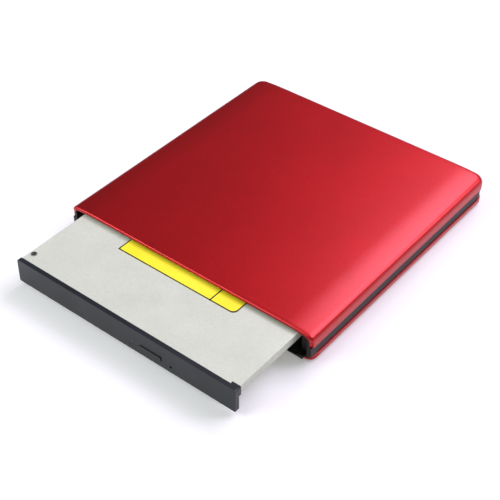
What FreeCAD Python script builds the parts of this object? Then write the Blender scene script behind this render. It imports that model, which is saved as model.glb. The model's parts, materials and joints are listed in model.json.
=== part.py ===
"""Slim optical drive in a two-shell external case, drawn part of the way out of it.

The disc tray is shut and the drive stands out of the case's mouth by drive_out.
Every piece is drawn in the frame of what it is fastened in:
  case   X across, Y back from the mouth, Z up from the case's underside
  drive  X across, Y back from the bezel's front face, Z up from the drive's underside
  mech   as drive, but about the disc's axis and turned so that the pickup runs along -Y
"""
import FreeCAD
import Part
import Sketcher
import math
import os
import re

SIZES = {
    # the case
    "case_width": 143.0,
    "case_length": 147.0,
    "case_height": 16.4,
    "shell_wall": 1.6,
    "side_wall": 1.8,
    "bottom_wall": 1.2,
    "bottom_height": 3.9,
    "band_height": 5.3,
    "band_inset": 0.5,
    "roll_width": 12.3,
    "roll_drop": 0.6,
    "edge_radius": 3.4,
    "inner_fillet": 3.0,
    "rail_wedge": 0.25,
    "rail_inset": 3.0,
    "band_wall": 1.0,
    "rail_floor": 0.8,
    "corner_radius": 5.5,
    "front_radius": 5.0,
    "bottom_rounding": 2.2,
    "rear_wall": 1.6,
    "sill_depth": 1.3,
    "sill_base": 0.3,
    "nest_gap": 0.1,
    "foot_height": 0.8,
    "foot_radius": 4.5,
    "foot_side": 57.0,
    "foot_end": 14.0,
    "case_screw_end": 13.0,
    "case_screw_length": 7.0,
    # screws: M2 in the case and its board, finer ones inside the drive
    "screw_radius": 1.0,
    "screw_head_radius": 1.9,
    "screw_head_height": 0.6,
    "fine_radius": 0.7,
    "fine_head_radius": 1.4,
    "fine_head_height": 0.4,
    # the adapter board behind the drive
    "adapter_width": 92.0,
    "adapter_depth": 16.0,
    "board_thickness": 1.0,
    "boss_height": 1.8,
    "boss_radius": 2.4,
    "board_screw_edge": 4.0,
    "board_screw_side": "adapter_width/2-board_screw_edge",
    "board_screw_inset": 5.0,
    "board_screw_gap": 0.5,
    "usb_side": 14.0,
    "usb_width": 7.7,
    "usb_height": 3.9,
    "usb_length": 9.2,
    "usb_wall": 0.3,
    "usb_rounding": 0.7,
    "usb_back": 1.0,
    "tongue_width": 5.2,
    "tongue_thickness": 0.8,
    "tongue_gap": 0.4,
    "tongue_inset": 0.8,
    "tongue_root": 1.2,
    "tongue_root_inset": 0.6,
    "power_edge": 13.0,
    "power_side": "adapter_width/2-power_edge",
    "power_width": 6.4,
    "power_length": 9.5,
    "power_bore": 2.0,
    "power_pin": 0.7,
    "power_axis": 2.6,
    "power_above": 3.0,
    "power_back": 1.5,
    "power_pin_length": 10.5,
    "port_gap": 0.2,
    "port_recess": 0.4,
    "light_side": -6.0,
    "light_radius": 1.0,
    "light_reach": 2.5,
    "light_leg": 1.6,
    "capacitor_left": -13.5,
    "capacitor_right": 23.5,
    "capacitor_edge": 4.0,
    "capacitor_width": 3.4,
    "capacitor_length": 4.2,
    "capacitor_height": 2.0,
    "capacitor_front": 2.0,
    "crystal_left": 4.0,
    "crystal_front": 1.0,
    "crystal_length": 5.0,
    "crystal_width": 3.2,
    "crystal_height": 1.2,
    "crystal_rounding": 0.8,
    "chip_side": 10.0,
    "chip_height": 1.3,
    "chip_left": 4.0,
    "chip_forward": 1.0,
    # the drive and how it stands in the case
    "drive_width": 126.6,
    "drive_length": 128.4,
    "drive_height": 12.4,
    "drive_out": 42.5,
    "drive_lift": 1.5,
    "guide_gap": 0.5,
    "pan_front": 2.6,
    "pan_sheet": 0.6,
    "cover_sheet": 0.5,
    "flange_height": 3.0,
    "step_width": 9.5,
    "step_height": 7.4,
    "ear_length": 7.0,
    "ear_front": 1.5,
    "cover_screw_inset": 2.4,
    "cover_screw_length": 1.2,
    "label_front": 34.6,
    "label_left": 33.8,
    "label_right": 35.2,
    "label_length": 74.0,
    "label_film": 0.1,
    "label_corner": 3.0,
    # the drive's plug and the socket that meets it
    "plug_side": -28.0,
    "plug_width": 24.0,
    "plug_depth": 6.0,
    "plug_axis": 4.0,
    "plug_wall": 0.5,
    "plug_height": 4.4,
    "plug_room": 4.6,
    "nose_gap": 0.3,
    "nose_length": 4.0,
    "blade_height": 1.0,
    "blade_length": 3.4,
    "signal_width": 8.4,
    "power_blade_width": 7.0,
    "blade_parting": 2.2,
    "slot_gap": 0.2,
    "slot_depth": 4.5,
    "receptacle_depth": 4.0,
    # the drive's own board
    "drive_board_width": 100.0,
    "drive_board_depth": 26.0,
    "drive_board_base": 1.0,
    "drive_board_thickness": 0.8,
    "controller_side": 14.0,
    "controller_height": 1.2,
    "controller_left": 4.0,
    "controller_front": 5.0,
    "memory_left": 26.0,
    "memory_width": 8.0,
    "memory_front": 8.0,
    "driver_left": 44.0,
    "driver_width": 10.0,
    "driver_front": 4.0,
    "small_chip_length": 6.0,
    "flex_width": 18.0,
    "flex_side": -11.0,
    "flex_film": 0.15,
    "flex_front": 40.0,
    "flex_lift": 0.5,
    "flex_rise": 3.0,
    "flex_level": 1.0,
    "flex_entry": 1.8,
    "flex_socket_height": 1.2,
    "flex_socket_wall": 1.5,
    "flex_socket_depth": 3.4,
    "flex_slot_depth": 2.0,
    # the tray
    "bezel_width": 128.0,
    "bezel_height": 12.7,
    "bezel_depth": 2.2,
    "bezel_rounding": 0.8,
    "return_width": 4.4,
    "return_depth": 1.3,
    "return_gap": 0.4,
    "return_low": 0.8,
    "tray_width": 121.2,
    "tray_back": 124.0,
    "tray_top": 9.6,
    "deck_thickness": 3.0,
    "step_gap": 0.6,
    "edge_thickness": 0.8,
    "edge_width": 1.4,
    "right_edge_inset": 1.2,
    "recess_radius": 60.75,
    "recess_depth": 1.2,
    "disc_centre": 65.5,
    "rail_strip": 0.5,
    "rail_lip": 0.4,
    "rail_lip_width": 2.0,
    "rail_height": 2.4,
    "rail_front": 8.0,
    "rail_length": 110.0,
    "rail_gap": 0.3,
    "guide_thickness": 2.6,
    "guide_front": 3.4,
    "guide_back": 4.6,
    "guide_base": 2.4,
    "slide_gap": 0.2,
    "shield_sheet": 0.3,
    "shield_base": 0.9,
    "shield_back": 96.0,
    "shield_front": 2.0,
    "shield_left": 57.5,
    "shield_pin_gap": 2.2,
    "shield_screw_length": 4.2,
    "left_post_side": 52.5,
    "left_post_front": 10.0,
    "right_post_side": 32.0,
    "right_post_front": 14.0,
    "rear_post_side": 45.0,
    "rear_post_inset": 6.0,
    "post_radius": 2.0,
    # button, light and emergency hole on the bezel
    "button_side": 17.0,
    "button_width": 12.5,
    "button_height": 2.6,
    "button_axis": 4.2,
    "button_proud": 0.4,
    "button_gap": 0.15,
    "button_rounding": 0.9,
    "button_stem": 3.1,
    "stem_width": 3.0,
    "stem_height": 2.0,
    "switch_front": 3.8,
    "switch_length": 3.0,
    "switch_width": 6.0,
    "switch_above": 1.4,
    "lamp_side": 6.0,
    "lamp_radius": 0.7,
    "lamp_axis": 3.9,
    "lamp_body_length": 2.0,
    "lamp_body_width": 2.2,
    "release_side": 28.6,
    "release_radius": 0.65,
    "release_low": 0.9,
    "button_board_base": 2.0,
    "button_board_sheet": 0.8,
    "button_board_left": 0.5,
    "button_board_right": 31.5,
    "button_board_gap": 0.4,
    "button_board_back": 11.0,
    "button_post_left": 3.0,
    "button_post_right": 29.0,
    "button_post_back": 9.0,
    "button_post_radius": 1.2,
    # the mechanism under the tray
    "mech_turn": -45.0,
    "plate_base": 1.8,
    "plate_sheet": 0.8,
    "plate_left": 19.5,
    "plate_right": 22.5,
    "plate_outer": 61.0,
    "plate_inner": 13.0,
    "tab_half": 3.0,
    "tab_end": 2.5,
    "tab_root": 1.0,
    "plate_window_left": 3.0,
    "plate_window_right": 2.0,
    "plate_window_outer": 3.5,
    "plate_window_inner": 2.2,
    "mech_cover_base": 7.6,
    "mech_cover_sheet": 0.4,
    "mech_cover_left": 2.0,
    "mech_cover_right": 1.0,
    "mech_cover_near": 2.0,
    "table_gap": 0.7,
    "slot_side_gap": 1.5,
    "slot_end": 1.2,
    "slot_overlap": 2.0,
    "slot_rounding": 2.0,
    "window_gap": 0.5,
    "rod_radius": 1.0,
    "rod_axis": 4.3,
    "rod_left": 16.0,
    "rod_right": 15.0,
    "rod_seat": 0.6,
    "rod_block_out": 1.8,
    "rod_block_in": 2.2,
    "run_gap": 0.05,
    "block_thickness": 1.8,
    "block_top": 5.8,
    "block_inner": 10.8,
    "pillar_width": 3.6,
    "pillar_left": 2.4,
    "pillar_right": 4.4,
    "lead_screw_side": 19.6,
    "lead_screw_radius": 0.8,
    "lead_screw_lift": 0.1,
    "lead_screw_entry": 1.0,
    "feed_motor_width": 6.0,
    "feed_motor_height": 3.6,
    "feed_motor_length": 16.0,
    "feed_motor_front": 1.8,
    "feed_motor_rounding": 1.7,
    "feed_bearing_depth": 1.2,
    "damper_radius": 2.0,
    "damper_screw_reach": 1.2,
    "left_damper_reach": 3.0,
    "left_damper_along": 40.0,
    "right_damper_reach": 3.5,
    "right_damper_along": 30.0,
    "near_damper_side": 6.0,
    "near_damper_reach": 5.0,
    # pickup
    "lens_radius_in": 24.0,
    "sled_outer": 4.2,
    "sled_inner": 9.2,
    "sled_base": 2.9,
    "sled_top": 5.7,
    "sled_rod_wall": 2.2,
    "sled_screw_gap": 0.3,
    "boss_top": 7.0,
    "boss_half": 7.5,
    "boss_back": 2.0,
    "pocket_floor": 2.3,
    "pocket_out": 3.6,
    "pocket_in": 5.0,
    "holder_half": 4.6,
    "holder_gap": 1.0,
    "holder_base": 2.7,
    "holder_height": 1.8,
    "holder_out": 3.2,
    "holder_in": 4.2,
    "lens_radius": 2.4,
    "lens_top": 8.0,
    "lens_seat": 1.2,
    "lens_crown": 0.3,
    "lens_rim": 0.7,
    # spindle
    "sleeve_radius": 2.6,
    "sleeve_gap": 0.3,
    "sleeve_flange": 0.4,
    "sleeve_flange_radius": 5.0,
    "stator_radius": 9.2,
    "stator_gap": 0.8,
    "can_radius": 11.5,
    "can_wall": 0.9,
    "can_base": 3.4,
    "table_radius": 13.5,
    "table_base": 7.0,
    "table_top": 8.8,
    "shaft_inset": 0.4,
    "pad_radius_in": 9.5,
    "pad_height": 0.4,
    "pad_rim": 0.3,
    "hub_radius": 7.3,
    "hub_top": 11.0,
    "hub_step": 0.6,
    "hub_rim": 0.8,
    "jaw_width": 3.0,
    "jaw_reach": 7.55,
    "jaw_root": 5.0,
    "jaw_travel": 0.4,
    "jaw_base": 9.4,
    "jaw_top": 10.8,
    "jaw_point": 0.5,
    # latch
    "latch_pivot_side": 44.0,
    "latch_pivot_back": 26.0,
    "latch_base": 3.8,
    "latch_thickness": 1.2,
    "latch_pivot_radius": 1.0,
    "pivot_below": 0.4,
    "lever_half": 2.4,
    "lever_front": 3.0,
    "lever_right_bend": 3.0,
    "lever_left_bend": 4.0,
    "hook_gap": 0.5,
    "hook_root": 3.4,
    "hook_start": 1.4,
    "hook_front": 1.6,
    "hook_back": 3.6,
    "hook_width": 5.4,
    "latch_pin_side": 51.6,
    "latch_pin_back": 34.0,
    "latch_pin_top": 5.6,
    "latch_pin_radius": 1.0,
    # magnet and kick spring
    "magnet_base": 2.2,
    "magnet_left": 37.0,
    "magnet_width": 12.0,
    "magnet_front": 8.0,
    "magnet_length": 11.0,
    "spring_side": 44.0,
    "spring_base": 4.0,
    "spring_height": 2.2,
    "spring_radius": 2.2,
    "spring_core": 1.5,
    "spring_gap": 0.3,
    "spring_wire": 0.5,
    "spring_arm_end": 30.0,
    "spring_arm_rise": 0.6,
    "spring_arm_height": 1.2,
}

doc = FreeCAD.newDocument("external_optical_drive")
sheet = doc.addObject("Spreadsheet::Sheet", "Sizes")
for row, (alias, number) in enumerate(SIZES.items(), start=1):
    sheet.set(f"A{row}", alias.replace("_", " "))
    sheet.set(f"B{row}", str(number) if isinstance(number, float) else "=" + number)
    sheet.setAlias(f"B{row}", alias)
doc.recompute()

OVER = 1  # millimetres that a cut runs past the faces that it opens
ROOT = 0.2  # millimetres that an added form starts inside what it grows from
JAWS = 3

pieces = []


def formula(text):
    """Write every size named in a formula as its cell of the sheet."""
    return re.sub(r"[a-z_]+", lambda word: "Sizes." * (word.group() in SIZES) + word.group(), text)


def value(text):
    """What a formula comes to, in millimetres or degrees."""
    return float(sheet.evalExpression(formula(text)))


def bind(thing, place, text):
    """Tie one property of an object to a formula of the sheet."""
    thing.setExpression(place, formula(text))


# Formulas that several pieces share.
MOUTH = "(drive_out+button_proud-case_length)/2"
HALF_CASE = "case_width/2"
BAND_TOP = "(bottom_height+band_height)"
ROLL_RADIUS = "(roll_width^2+roll_drop^2)/(2*roll_drop)"
EDGE_IN = f"(edge_radius*(1-roll_width/({ROLL_RADIUS})))"
EDGE_DOWN = f"(edge_radius*(1-roll_drop/({ROLL_RADIUS})))"
SHOULDER = "(case_height-shell_wall-roll_drop-nest_gap)"
RAIL_OUT = "(case_width/2-side_wall-nest_gap)"
RAIL_TOP_OUT = "(case_width/2-side_wall-nest_gap-inner_fillet)"
REAR_OUT = "(case_length-side_wall-nest_gap)"
REAR_IN = "(case_length-side_wall-nest_gap-rear_wall)"
GUIDE = "(drive_width/2+guide_gap)"
SCREW_ROW = "(drive_width/2+guide_gap+case_width/2-side_wall-nest_gap)/2"
ADAPTER_TOP = "(bottom_wall+boss_height+board_thickness)"
ADAPTER_BACK = "(case_length-side_wall-nest_gap-rear_wall-nest_gap)"
ADAPTER_FRONT = f"({ADAPTER_BACK}-adapter_depth)"
PORT_FACE = "(case_length-band_inset-port_recess)"
HALF_PAN = "(drive_width/2-cover_sheet)"
PAN_IN = "(drive_width/2-cover_sheet-pan_sheet)"
STEP = "(drive_width/2-step_width)"
PAN_TOP = "(drive_height-cover_sheet)"
DRIVE_BOARD_TOP = "(drive_board_base+drive_board_thickness)"
DECK_BASE = "(tray_top-deck_thickness)"
EDGE_BASE = "(tray_top-edge_thickness)"
LIP_BASE = "(step_height+pan_sheet+slide_gap)"
RAIL_FACE = "(drive_width/2-cover_sheet-pan_sheet-rail_gap)"
LEAD_AXIS = "(rod_axis+lead_screw_lift)"
PLATE_TOP = "(plate_base+plate_sheet)"
DAMPERS = [
    ("-plate_left-left_damper_reach", "-left_damper_along"),
    ("plate_right+right_damper_reach", "-right_damper_along"),
    ("-near_damper_side", "plate_inner+near_damper_reach"),
]
SHIELD_POSTS = [
    ("-left_post_side", "left_post_front"), ("right_post_side", "right_post_front"),
    ("-left_post_side", "shield_back-rear_post_inset"), ("rear_post_side", "shield_back-rear_post_inset"),
]

FRAMES = {
    "case": ("0", MOUTH, "foot_height", 0.0),
    "drive": ("0", f"{MOUTH}-drive_out", "foot_height+drive_lift", 0.0),
    "mech": ("0", f"{MOUTH}-drive_out+disc_centre", "foot_height+drive_lift", value("mech_turn")),
}


def place(piece, label, frame, turn=0.0):
    """Name a piece and stand it in the frame that it is drawn in."""
    piece.Label = label
    *corner, frame_turn = FRAMES[frame]
    piece.Placement = FreeCAD.Placement(
        FreeCAD.Vector(), FreeCAD.Rotation(FreeCAD.Vector(0, 0, 1), frame_turn + turn))
    for axis, text in zip("xyz", corner):
        bind(piece, "Placement.Base." + axis, text)
    pieces.append(piece)


def new_body(name):
    """An empty body, free to hold several solids of one kind."""
    body = doc.addObject("PartDesign::Body", name)
    body.AllowCompound = True
    return body


def new_piece(label, frame, turn=0.0):
    """An empty body that is one of the object's pieces."""
    body = new_body(label)
    place(body, label, frame, turn)
    return body


def origin_item(body, role):
    """The body's own origin plane or axis with the given role."""
    return next(item for item in body.Origin.OriginFeatures if item.Role == role)


# Outlines are lists of corners (across, up, radius of the arc to the next corner or None).
def rect(left, right, low, high):
    return [(left, low, None), (right, low, None), (right, high, None), (left, high, None)]


def rounded(left, right, low, high, radius):
    """A rectangle with its four corners rounded."""
    return [
        (f"{left}+{radius}", low, None), (f"{right}-{radius}", low, radius),
        (right, f"{low}+{radius}", None), (right, f"{high}-{radius}", radius),
        (f"{right}-{radius}", high, None), (f"{left}+{radius}", high, radius),
        (left, f"{high}-{radius}", None), (left, f"{low}+{radius}", radius),
    ]


def ring(across, up, *radii):
    """Circles about one centre."""
    return [("circle", across, up, radius) for radius in radii]


def draw_circle(drawing, across, up, radius):
    spot = FreeCAD.Vector(value(across), value(up), 0)
    index = drawing.addGeometry(Part.Circle(spot, FreeCAD.Vector(0, 0, 1), value(radius)), False)
    for kind, text in (("DistanceX", across), ("DistanceY", up)):
        number = drawing.addConstraint(Sketcher.Constraint(kind, -1, 1, index, 3, value(text)))
        bind(drawing, f"Constraints[{number}]", text)
    number = drawing.addConstraint(Sketcher.Constraint("Radius", index, value(radius)))
    bind(drawing, f"Constraints[{number}]", radius)


def arc_between(start, end, radius):
    """Arc from start to end, bulging right of the way there, or left for a negative radius."""
    chord = end - start
    side = 1 if radius > 0 else -1
    reach = math.sqrt(max(radius * radius - chord.Length ** 2 / 4, 0.0))
    left = FreeCAD.Vector(-chord.y, chord.x, 0).normalize()
    middle = (start + end) * 0.5 + left * (reach * side)
    first, last = (start, end) if side > 0 else (end, start)
    angles = [math.atan2(spot.y - middle.y, spot.x - middle.x) for spot in (first, last)]
    circle = Part.Circle(middle, FreeCAD.Vector(0, 0, 1), abs(radius))
    return Part.ArcOfCircle(circle, angles[0], angles[1]), ((1, 2) if side > 0 else (2, 1))


def draw_outline(drawing, corners):
    """A closed outline whose corners and radii all follow the sheet."""
    spots = [FreeCAD.Vector(value(across), value(up), 0) for across, up, _ in corners]
    made = []
    for number, (_, _, radius) in enumerate(corners):
        start, end = spots[number], spots[(number + 1) % len(spots)]
        if radius is None:
            shape, ends = Part.LineSegment(start, end), (1, 2)
        else:
            shape, ends = arc_between(start, end, value(radius))
        made.append((drawing.addGeometry(shape, False), ends))
    for number, (across, up, radius) in enumerate(corners):
        index, (first, last) = made[number]
        follower, (next_first, _) = made[(number + 1) % len(made)]
        drawing.addConstraint(Sketcher.Constraint("Coincident", index, last, follower, next_first))
        for kind, text in (("DistanceX", across), ("DistanceY", up)):
            rule = drawing.addConstraint(Sketcher.Constraint(kind, -1, 1, index, first, value(text)))
            bind(drawing, f"Constraints[{rule}]", text)
        if radius is not None:
            size = abs(value(radius))
            rule = drawing.addConstraint(Sketcher.Constraint("Radius", index, size))
            bind(drawing, f"Constraints[{rule}]", f"abs({radius})")


def draw(body, plane, level, outlines):
    """A sketch on one of the body's planes, level millimetres along the plane's row axis."""
    drawing = body.newObject("Sketcher::SketchObject", body.Name + "_outline")
    drawing.AttachmentSupport = [(origin_item(body, plane + "_Plane"), "")]
    drawing.MapMode = "FlatFace"
    bind(drawing, "AttachmentOffset.Base.z", f"-({level})" if plane == "XZ" else level)
    for outline in outlines:
        if outline[0][0] == "circle":
            for _, across, up, radius in outline:
                draw_circle(drawing, across, up, radius)
        else:
            draw_outline(drawing, outline)
    return drawing


def solid(body, plane, level, length, *outlines):
    """Add material from level to level + length along the plane's row axis."""
    pad = body.newObject("PartDesign::Pad", body.Name + "_pad")
    pad.Profile = draw(body, plane, level, outlines)
    pad.Reversed = plane == "XZ"
    bind(pad, "Length", length)
    return pad


def hollow(body, plane, level, length, *outlines):
    """Take material away from level to level + length along the plane's row axis."""
    pocket = body.newObject("PartDesign::Pocket", body.Name + "_pocket")
    pocket.Profile = draw(body, plane, level, outlines)
    pocket.Reversed = plane != "XZ"
    bind(pocket, "Length", length)
    return pocket


def cut_rear_corners(body, half, back, radius, low, height):
    """Round the two rear corners of a body in plan."""
    right = [
        (half, f"{back}-{radius}", None), (f"{half}+{OVER}", f"{back}-{radius}", None),
        (f"{half}+{OVER}", f"{back}+{OVER}", None), (f"{half}-{radius}", f"{back}+{OVER}", None),
        (f"{half}-{radius}", back, f"-({radius})"),
    ]
    left = [
        (f"-{half}", f"{back}-{radius}", f"-({radius})"), (f"-{half}+{radius}", back, None),
        (f"-{half}+{radius}", f"{back}+{OVER}", None), (f"-{half}-{OVER}", f"{back}+{OVER}", None),
        (f"-{half}-{OVER}", f"{back}-{radius}", None),
    ]
    hollow(body, "XY", low, height, right, left)


def cut_front_corners(body, start):
    """Round the two front corners of the lower shell, whose front edge lies at start."""
    end = f"{start}+front_radius"
    right = [
        (f"{HALF_CASE}-front_radius", f"-{OVER}", None), (f"{HALF_CASE}+{OVER}", f"-{OVER}", None),
        (f"{HALF_CASE}+{OVER}", end, None), (HALF_CASE, end, "-front_radius"),
        (f"{HALF_CASE}-front_radius", start, None),
    ]
    left = [
        (f"-{HALF_CASE}-{OVER}", f"-{OVER}", None), (f"-{HALF_CASE}+front_radius", f"-{OVER}", None),
        (f"-{HALF_CASE}+front_radius", start, "-front_radius"), (f"-{HALF_CASE}", end, None),
        (f"-{HALF_CASE}-{OVER}", end, None),
    ]
    hollow(body, "XY", f"-{OVER}", f"bottom_height+{OVER}", right, left)


# ---------------------------------------------------------------- the case

def shell_block(name, low, front):
    """Upper shell's outer shape: crowned towards both sides, with a tight edge on three sides."""
    body = new_body(name)
    crown_end, crown_start = f"({HALF_CASE}-{EDGE_IN})", f"({HALF_CASE}-{EDGE_IN}-roll_width)"
    side_top, crown_low = f"(case_height-roll_drop-{EDGE_DOWN})", "(case_height-roll_drop)"
    section = [
        (f"-{HALF_CASE}", low, None), (HALF_CASE, low, None), (HALF_CASE, side_top, "edge_radius"),
        (crown_end, crown_low, ROLL_RADIUS), (crown_start, "case_height", None),
        (f"-{crown_start}", "case_height", ROLL_RADIUS), (f"-{crown_end}", crown_low, "edge_radius"),
        (f"-{HALF_CASE}", side_top, None),
    ]
    solid(body, "XZ", front, f"case_length-({front})", section)
    behind = [
        ("case_length-edge_radius", f"case_height+{OVER}", None),
        ("case_length-edge_radius", "case_height", "-edge_radius"),
        ("case_length", "case_height-edge_radius", None),
        (f"case_length+{OVER}", "case_height-edge_radius", None),
        (f"case_length+{OVER}", f"case_height+{OVER}", None),
    ]
    hollow(body, "YZ", f"-{HALF_CASE}-{OVER}", f"case_width+2*{OVER}", behind)
    cut_rear_corners(body, HALF_CASE, "case_length", "corner_radius", f"{low}-{OVER}", "case_height")
    return body


def shell_room(name, low, front):
    """The space in the upper shell, crowned as the outside is."""
    body = new_body(name)
    half, back, top = f"({HALF_CASE}-side_wall)", "(case_length-side_wall)", "(case_height-shell_wall)"
    side_top, crown_low = f"({top}-roll_drop-inner_fillet)", f"({top}-roll_drop)"
    section = [
        (f"-{half}", low, None), (half, low, None), (half, side_top, "inner_fillet"),
        (f"{half}-inner_fillet", crown_low, ROLL_RADIUS), (f"{half}-inner_fillet-roll_width", top, None),
        (f"-{half}+inner_fillet+roll_width", top, ROLL_RADIUS),
        (f"-{half}+inner_fillet", crown_low, "inner_fillet"), (f"-{half}", side_top, None),
    ]
    solid(body, "XZ", front, f"{back}-({front})", section)
    cut_rear_corners(body, half, back, "(corner_radius-side_wall)", f"{low}-{OVER}", "case_height")
    return body


def top_shell():
    """Painted upper shell, open at the front."""
    shell = doc.addObject("Part::Cut", "top_shell")
    shell.Base = shell_block("top_shell_outside", BAND_TOP, "0")
    shell.Tool = shell_room("top_shell_inside", f"({BAND_TOP}-{OVER})", f"-{OVER}")
    place(shell, "top_shell", "case")


def case_screw_spots():
    ends = ("case_screw_end", "case_length-case_screw_end")
    return [(f"{side}{SCREW_ROW}", end) for side in ("", "-") for end in ends]


def bottom_shell():
    """Painted lower shell with the bosses that the adapter board is screwed to."""
    shell = new_piece("bottom_shell", "case")
    section = [
        (f"-{HALF_CASE}", "bottom_rounding", "bottom_rounding"), (f"-{HALF_CASE}+bottom_rounding", "0", None),
        (f"{HALF_CASE}-bottom_rounding", "0", "bottom_rounding"), (HALF_CASE, "bottom_rounding", None),
        (HALF_CASE, "bottom_height", None), (f"-{HALF_CASE}", "bottom_height", None),
    ]
    solid(shell, "XZ", "sill_depth", "case_length-sill_depth", section)
    behind = [
        ("case_length-bottom_rounding", f"-{OVER}", None), (f"case_length+{OVER}", f"-{OVER}", None),
        (f"case_length+{OVER}", "bottom_rounding", None),
        ("case_length", "bottom_rounding", "-bottom_rounding"),
        ("case_length-bottom_rounding", "0", None),
    ]
    hollow(shell, "YZ", f"-{HALF_CASE}-{OVER}", f"case_width+2*{OVER}", behind)
    cut_rear_corners(shell, HALF_CASE, "case_length", "corner_radius", f"-{OVER}", f"bottom_height+2*{OVER}")
    cut_front_corners(shell, "sill_depth")
    inner = f"({HALF_CASE}-side_wall)"
    back, radius = "case_length-side_wall", "(corner_radius-side_wall)"
    room = [
        (f"-{inner}", "0", None), (inner, "0", None), (inner, f"{back}-{radius}", radius),
        (f"{inner}-{radius}", back, None), (f"-{inner}+{radius}", back, radius),
        (f"-{inner}", f"{back}-{radius}", None),
    ]
    hollow(shell, "XY", "bottom_wall", "bottom_height", room)
    for side in ("", "-"):
        spot = (f"{side}board_screw_side", f"{ADAPTER_BACK}-board_screw_inset")
        solid(shell, "XY", f"bottom_wall-{ROOT}", f"boss_height+{ROOT}", ring(*spot, "boss_radius"))
        hollow(shell, "XY", "sill_base", "bottom_wall+boss_height", ring(*spot, "screw_radius"))
    for spot in case_screw_spots():
        hollow(shell, "XY", f"-{OVER}", f"bottom_wall+2*{OVER}", ring(*spot, "screw_radius"))
        hollow(shell, "XY", f"-{OVER}", f"screw_head_height+nest_gap+{OVER}",
               ring(*spot, "screw_head_radius+nest_gap"))


def middle_frame():
    """Black frame between the shells: two rails beside the drive, a rear wall and a front sill."""
    frame = new_piece("middle_frame", "case")
    wedge_end = "case_length-side_wall-corner_radius"
    for side in ("", "-"):
        if side == "":
            rail = [
                (GUIDE, "bottom_wall", None), (RAIL_OUT, "bottom_wall", None),
                (RAIL_OUT, f"{SHOULDER}-inner_fillet", "inner_fillet"), (RAIL_TOP_OUT, SHOULDER, None),
                (GUIDE, SHOULDER, None),
            ]
        else:
            rail = [
                (f"-{RAIL_OUT}", "bottom_wall", None), (f"-{GUIDE}", "bottom_wall", None),
                (f"-{GUIDE}", SHOULDER, None), (f"-{RAIL_TOP_OUT}", SHOULDER, "inner_fillet"),
                (f"-{RAIL_OUT}", f"{SHOULDER}-inner_fillet", None),
            ]
        solid(frame, "XZ", "0", REAR_OUT, rail)
        wedge = [
            (f"{side}{GUIDE}", SHOULDER, None), (f"{side}{RAIL_TOP_OUT}", SHOULDER, None),
            (f"{side}{GUIDE}", f"{SHOULDER}+rail_wedge", None),
        ]
        solid(frame, "XZ", "0", wedge_end, wedge)
    solid(frame, "XZ", REAR_IN, "rear_wall",
          rect(f"-{RAIL_TOP_OUT}", RAIL_TOP_OUT, "bottom_wall", SHOULDER))
    cut_rear_corners(frame, RAIL_OUT, REAR_OUT, "corner_radius", "0", "case_height")
    cut_front_corners(frame, "sill_depth")
    half, back = f"({HALF_CASE}-band_inset)", "(case_length-band_inset)"
    radius = "(corner_radius-band_inset)"
    band = [
        (GUIDE, "0", None), (half, "0", None), (half, f"{back}-{radius}", radius),
        (f"{half}-{radius}", back, None), (f"-{half}+{radius}", back, radius),
        (f"-{half}", f"{back}-{radius}", None), (f"-{half}", "0", None), (f"-{GUIDE}", "0", None),
        (f"-{GUIDE}", REAR_IN, None), (GUIDE, REAR_IN, None),
    ]
    solid(frame, "XY", "bottom_height", "band_height", band)
    for sign in ("", "-"):
        hollow(frame, "XZ", f"-{OVER}", f"rail_inset+{OVER}",
               rect(f"{sign}({GUIDE}-{OVER})", f"{sign}({RAIL_OUT}-band_wall)",
                    "bottom_wall+rail_floor", "case_height"))
    lip = f"({HALF_CASE}-front_radius)"
    solid(frame, "XY", "sill_base", "bottom_wall-sill_base",
          rect(f"-{lip}", lip, "0", "sill_depth-nest_gap"))
    for spot in case_screw_spots():
        hollow(frame, "XY", "0", "screw_head_height+case_screw_length", ring(*spot, "screw_radius"))
    reach = f"rear_wall+side_wall+2*{OVER}"
    usb = rounded("(usb_side-usb_width/2-port_gap)", "(usb_side+usb_width/2+port_gap)",
                  f"({ADAPTER_TOP}-port_gap)", f"({ADAPTER_TOP}+usb_height+port_gap)",
                  "(usb_rounding+nest_gap)")
    hollow(frame, "XZ", f"{REAR_IN}-{OVER}", reach, usb)
    power = ring("power_side", f"{ADAPTER_TOP}+power_axis", "power_bore+port_gap")
    light = ring("light_side", f"{ADAPTER_TOP}+power_axis", "light_radius+nest_gap")
    hollow(frame, "XZ", f"{REAR_IN}-{OVER}", reach, power, light)


def case_fasteners():
    """Four screws through the lower shell, four feet and the board's two screws."""
    screws = new_piece("case_screws", "case")
    for spot in case_screw_spots():
        solid(screws, "XY", "nest_gap", "screw_head_height", ring(*spot, "screw_head_radius"))
        solid(screws, "XY", f"nest_gap+screw_head_height-{ROOT}", "case_screw_length",
              ring(*spot, "screw_radius"))
    feet = new_piece("rubber_feet", "case")
    for side in ("", "-"):
        for end in ("foot_end", "case_length-foot_end"):
            solid(feet, "XY", "-foot_height", "foot_height", ring(f"{side}foot_side", end, "foot_radius"))
    fixings = new_piece("board_screws", "case")
    for side in ("", "-"):
        spot = (f"{side}board_screw_side", f"{ADAPTER_BACK}-board_screw_inset")
        solid(fixings, "XY", "sill_base+board_screw_gap",
              f"{ADAPTER_TOP}-sill_base-board_screw_gap+{ROOT}", ring(*spot, "screw_radius"))
        solid(fixings, "XY", ADAPTER_TOP, "screw_head_height", ring(*spot, "screw_head_radius"))


def adapter_board():
    """Board that turns the drive's plug into the sockets on the case's back."""
    board = new_piece("adapter_board", "case")
    level = f"{ADAPTER_TOP}-board_thickness"
    solid(board, "XY", level, "board_thickness",
          rect("-adapter_width/2", "adapter_width/2", ADAPTER_FRONT, ADAPTER_BACK))
    for side in ("", "-"):
        spot = (f"{side}board_screw_side", f"{ADAPTER_BACK}-board_screw_inset")
        hollow(board, "XY", f"{level}-{OVER}", f"board_thickness+2*{OVER}", ring(*spot, "screw_radius"))


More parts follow.
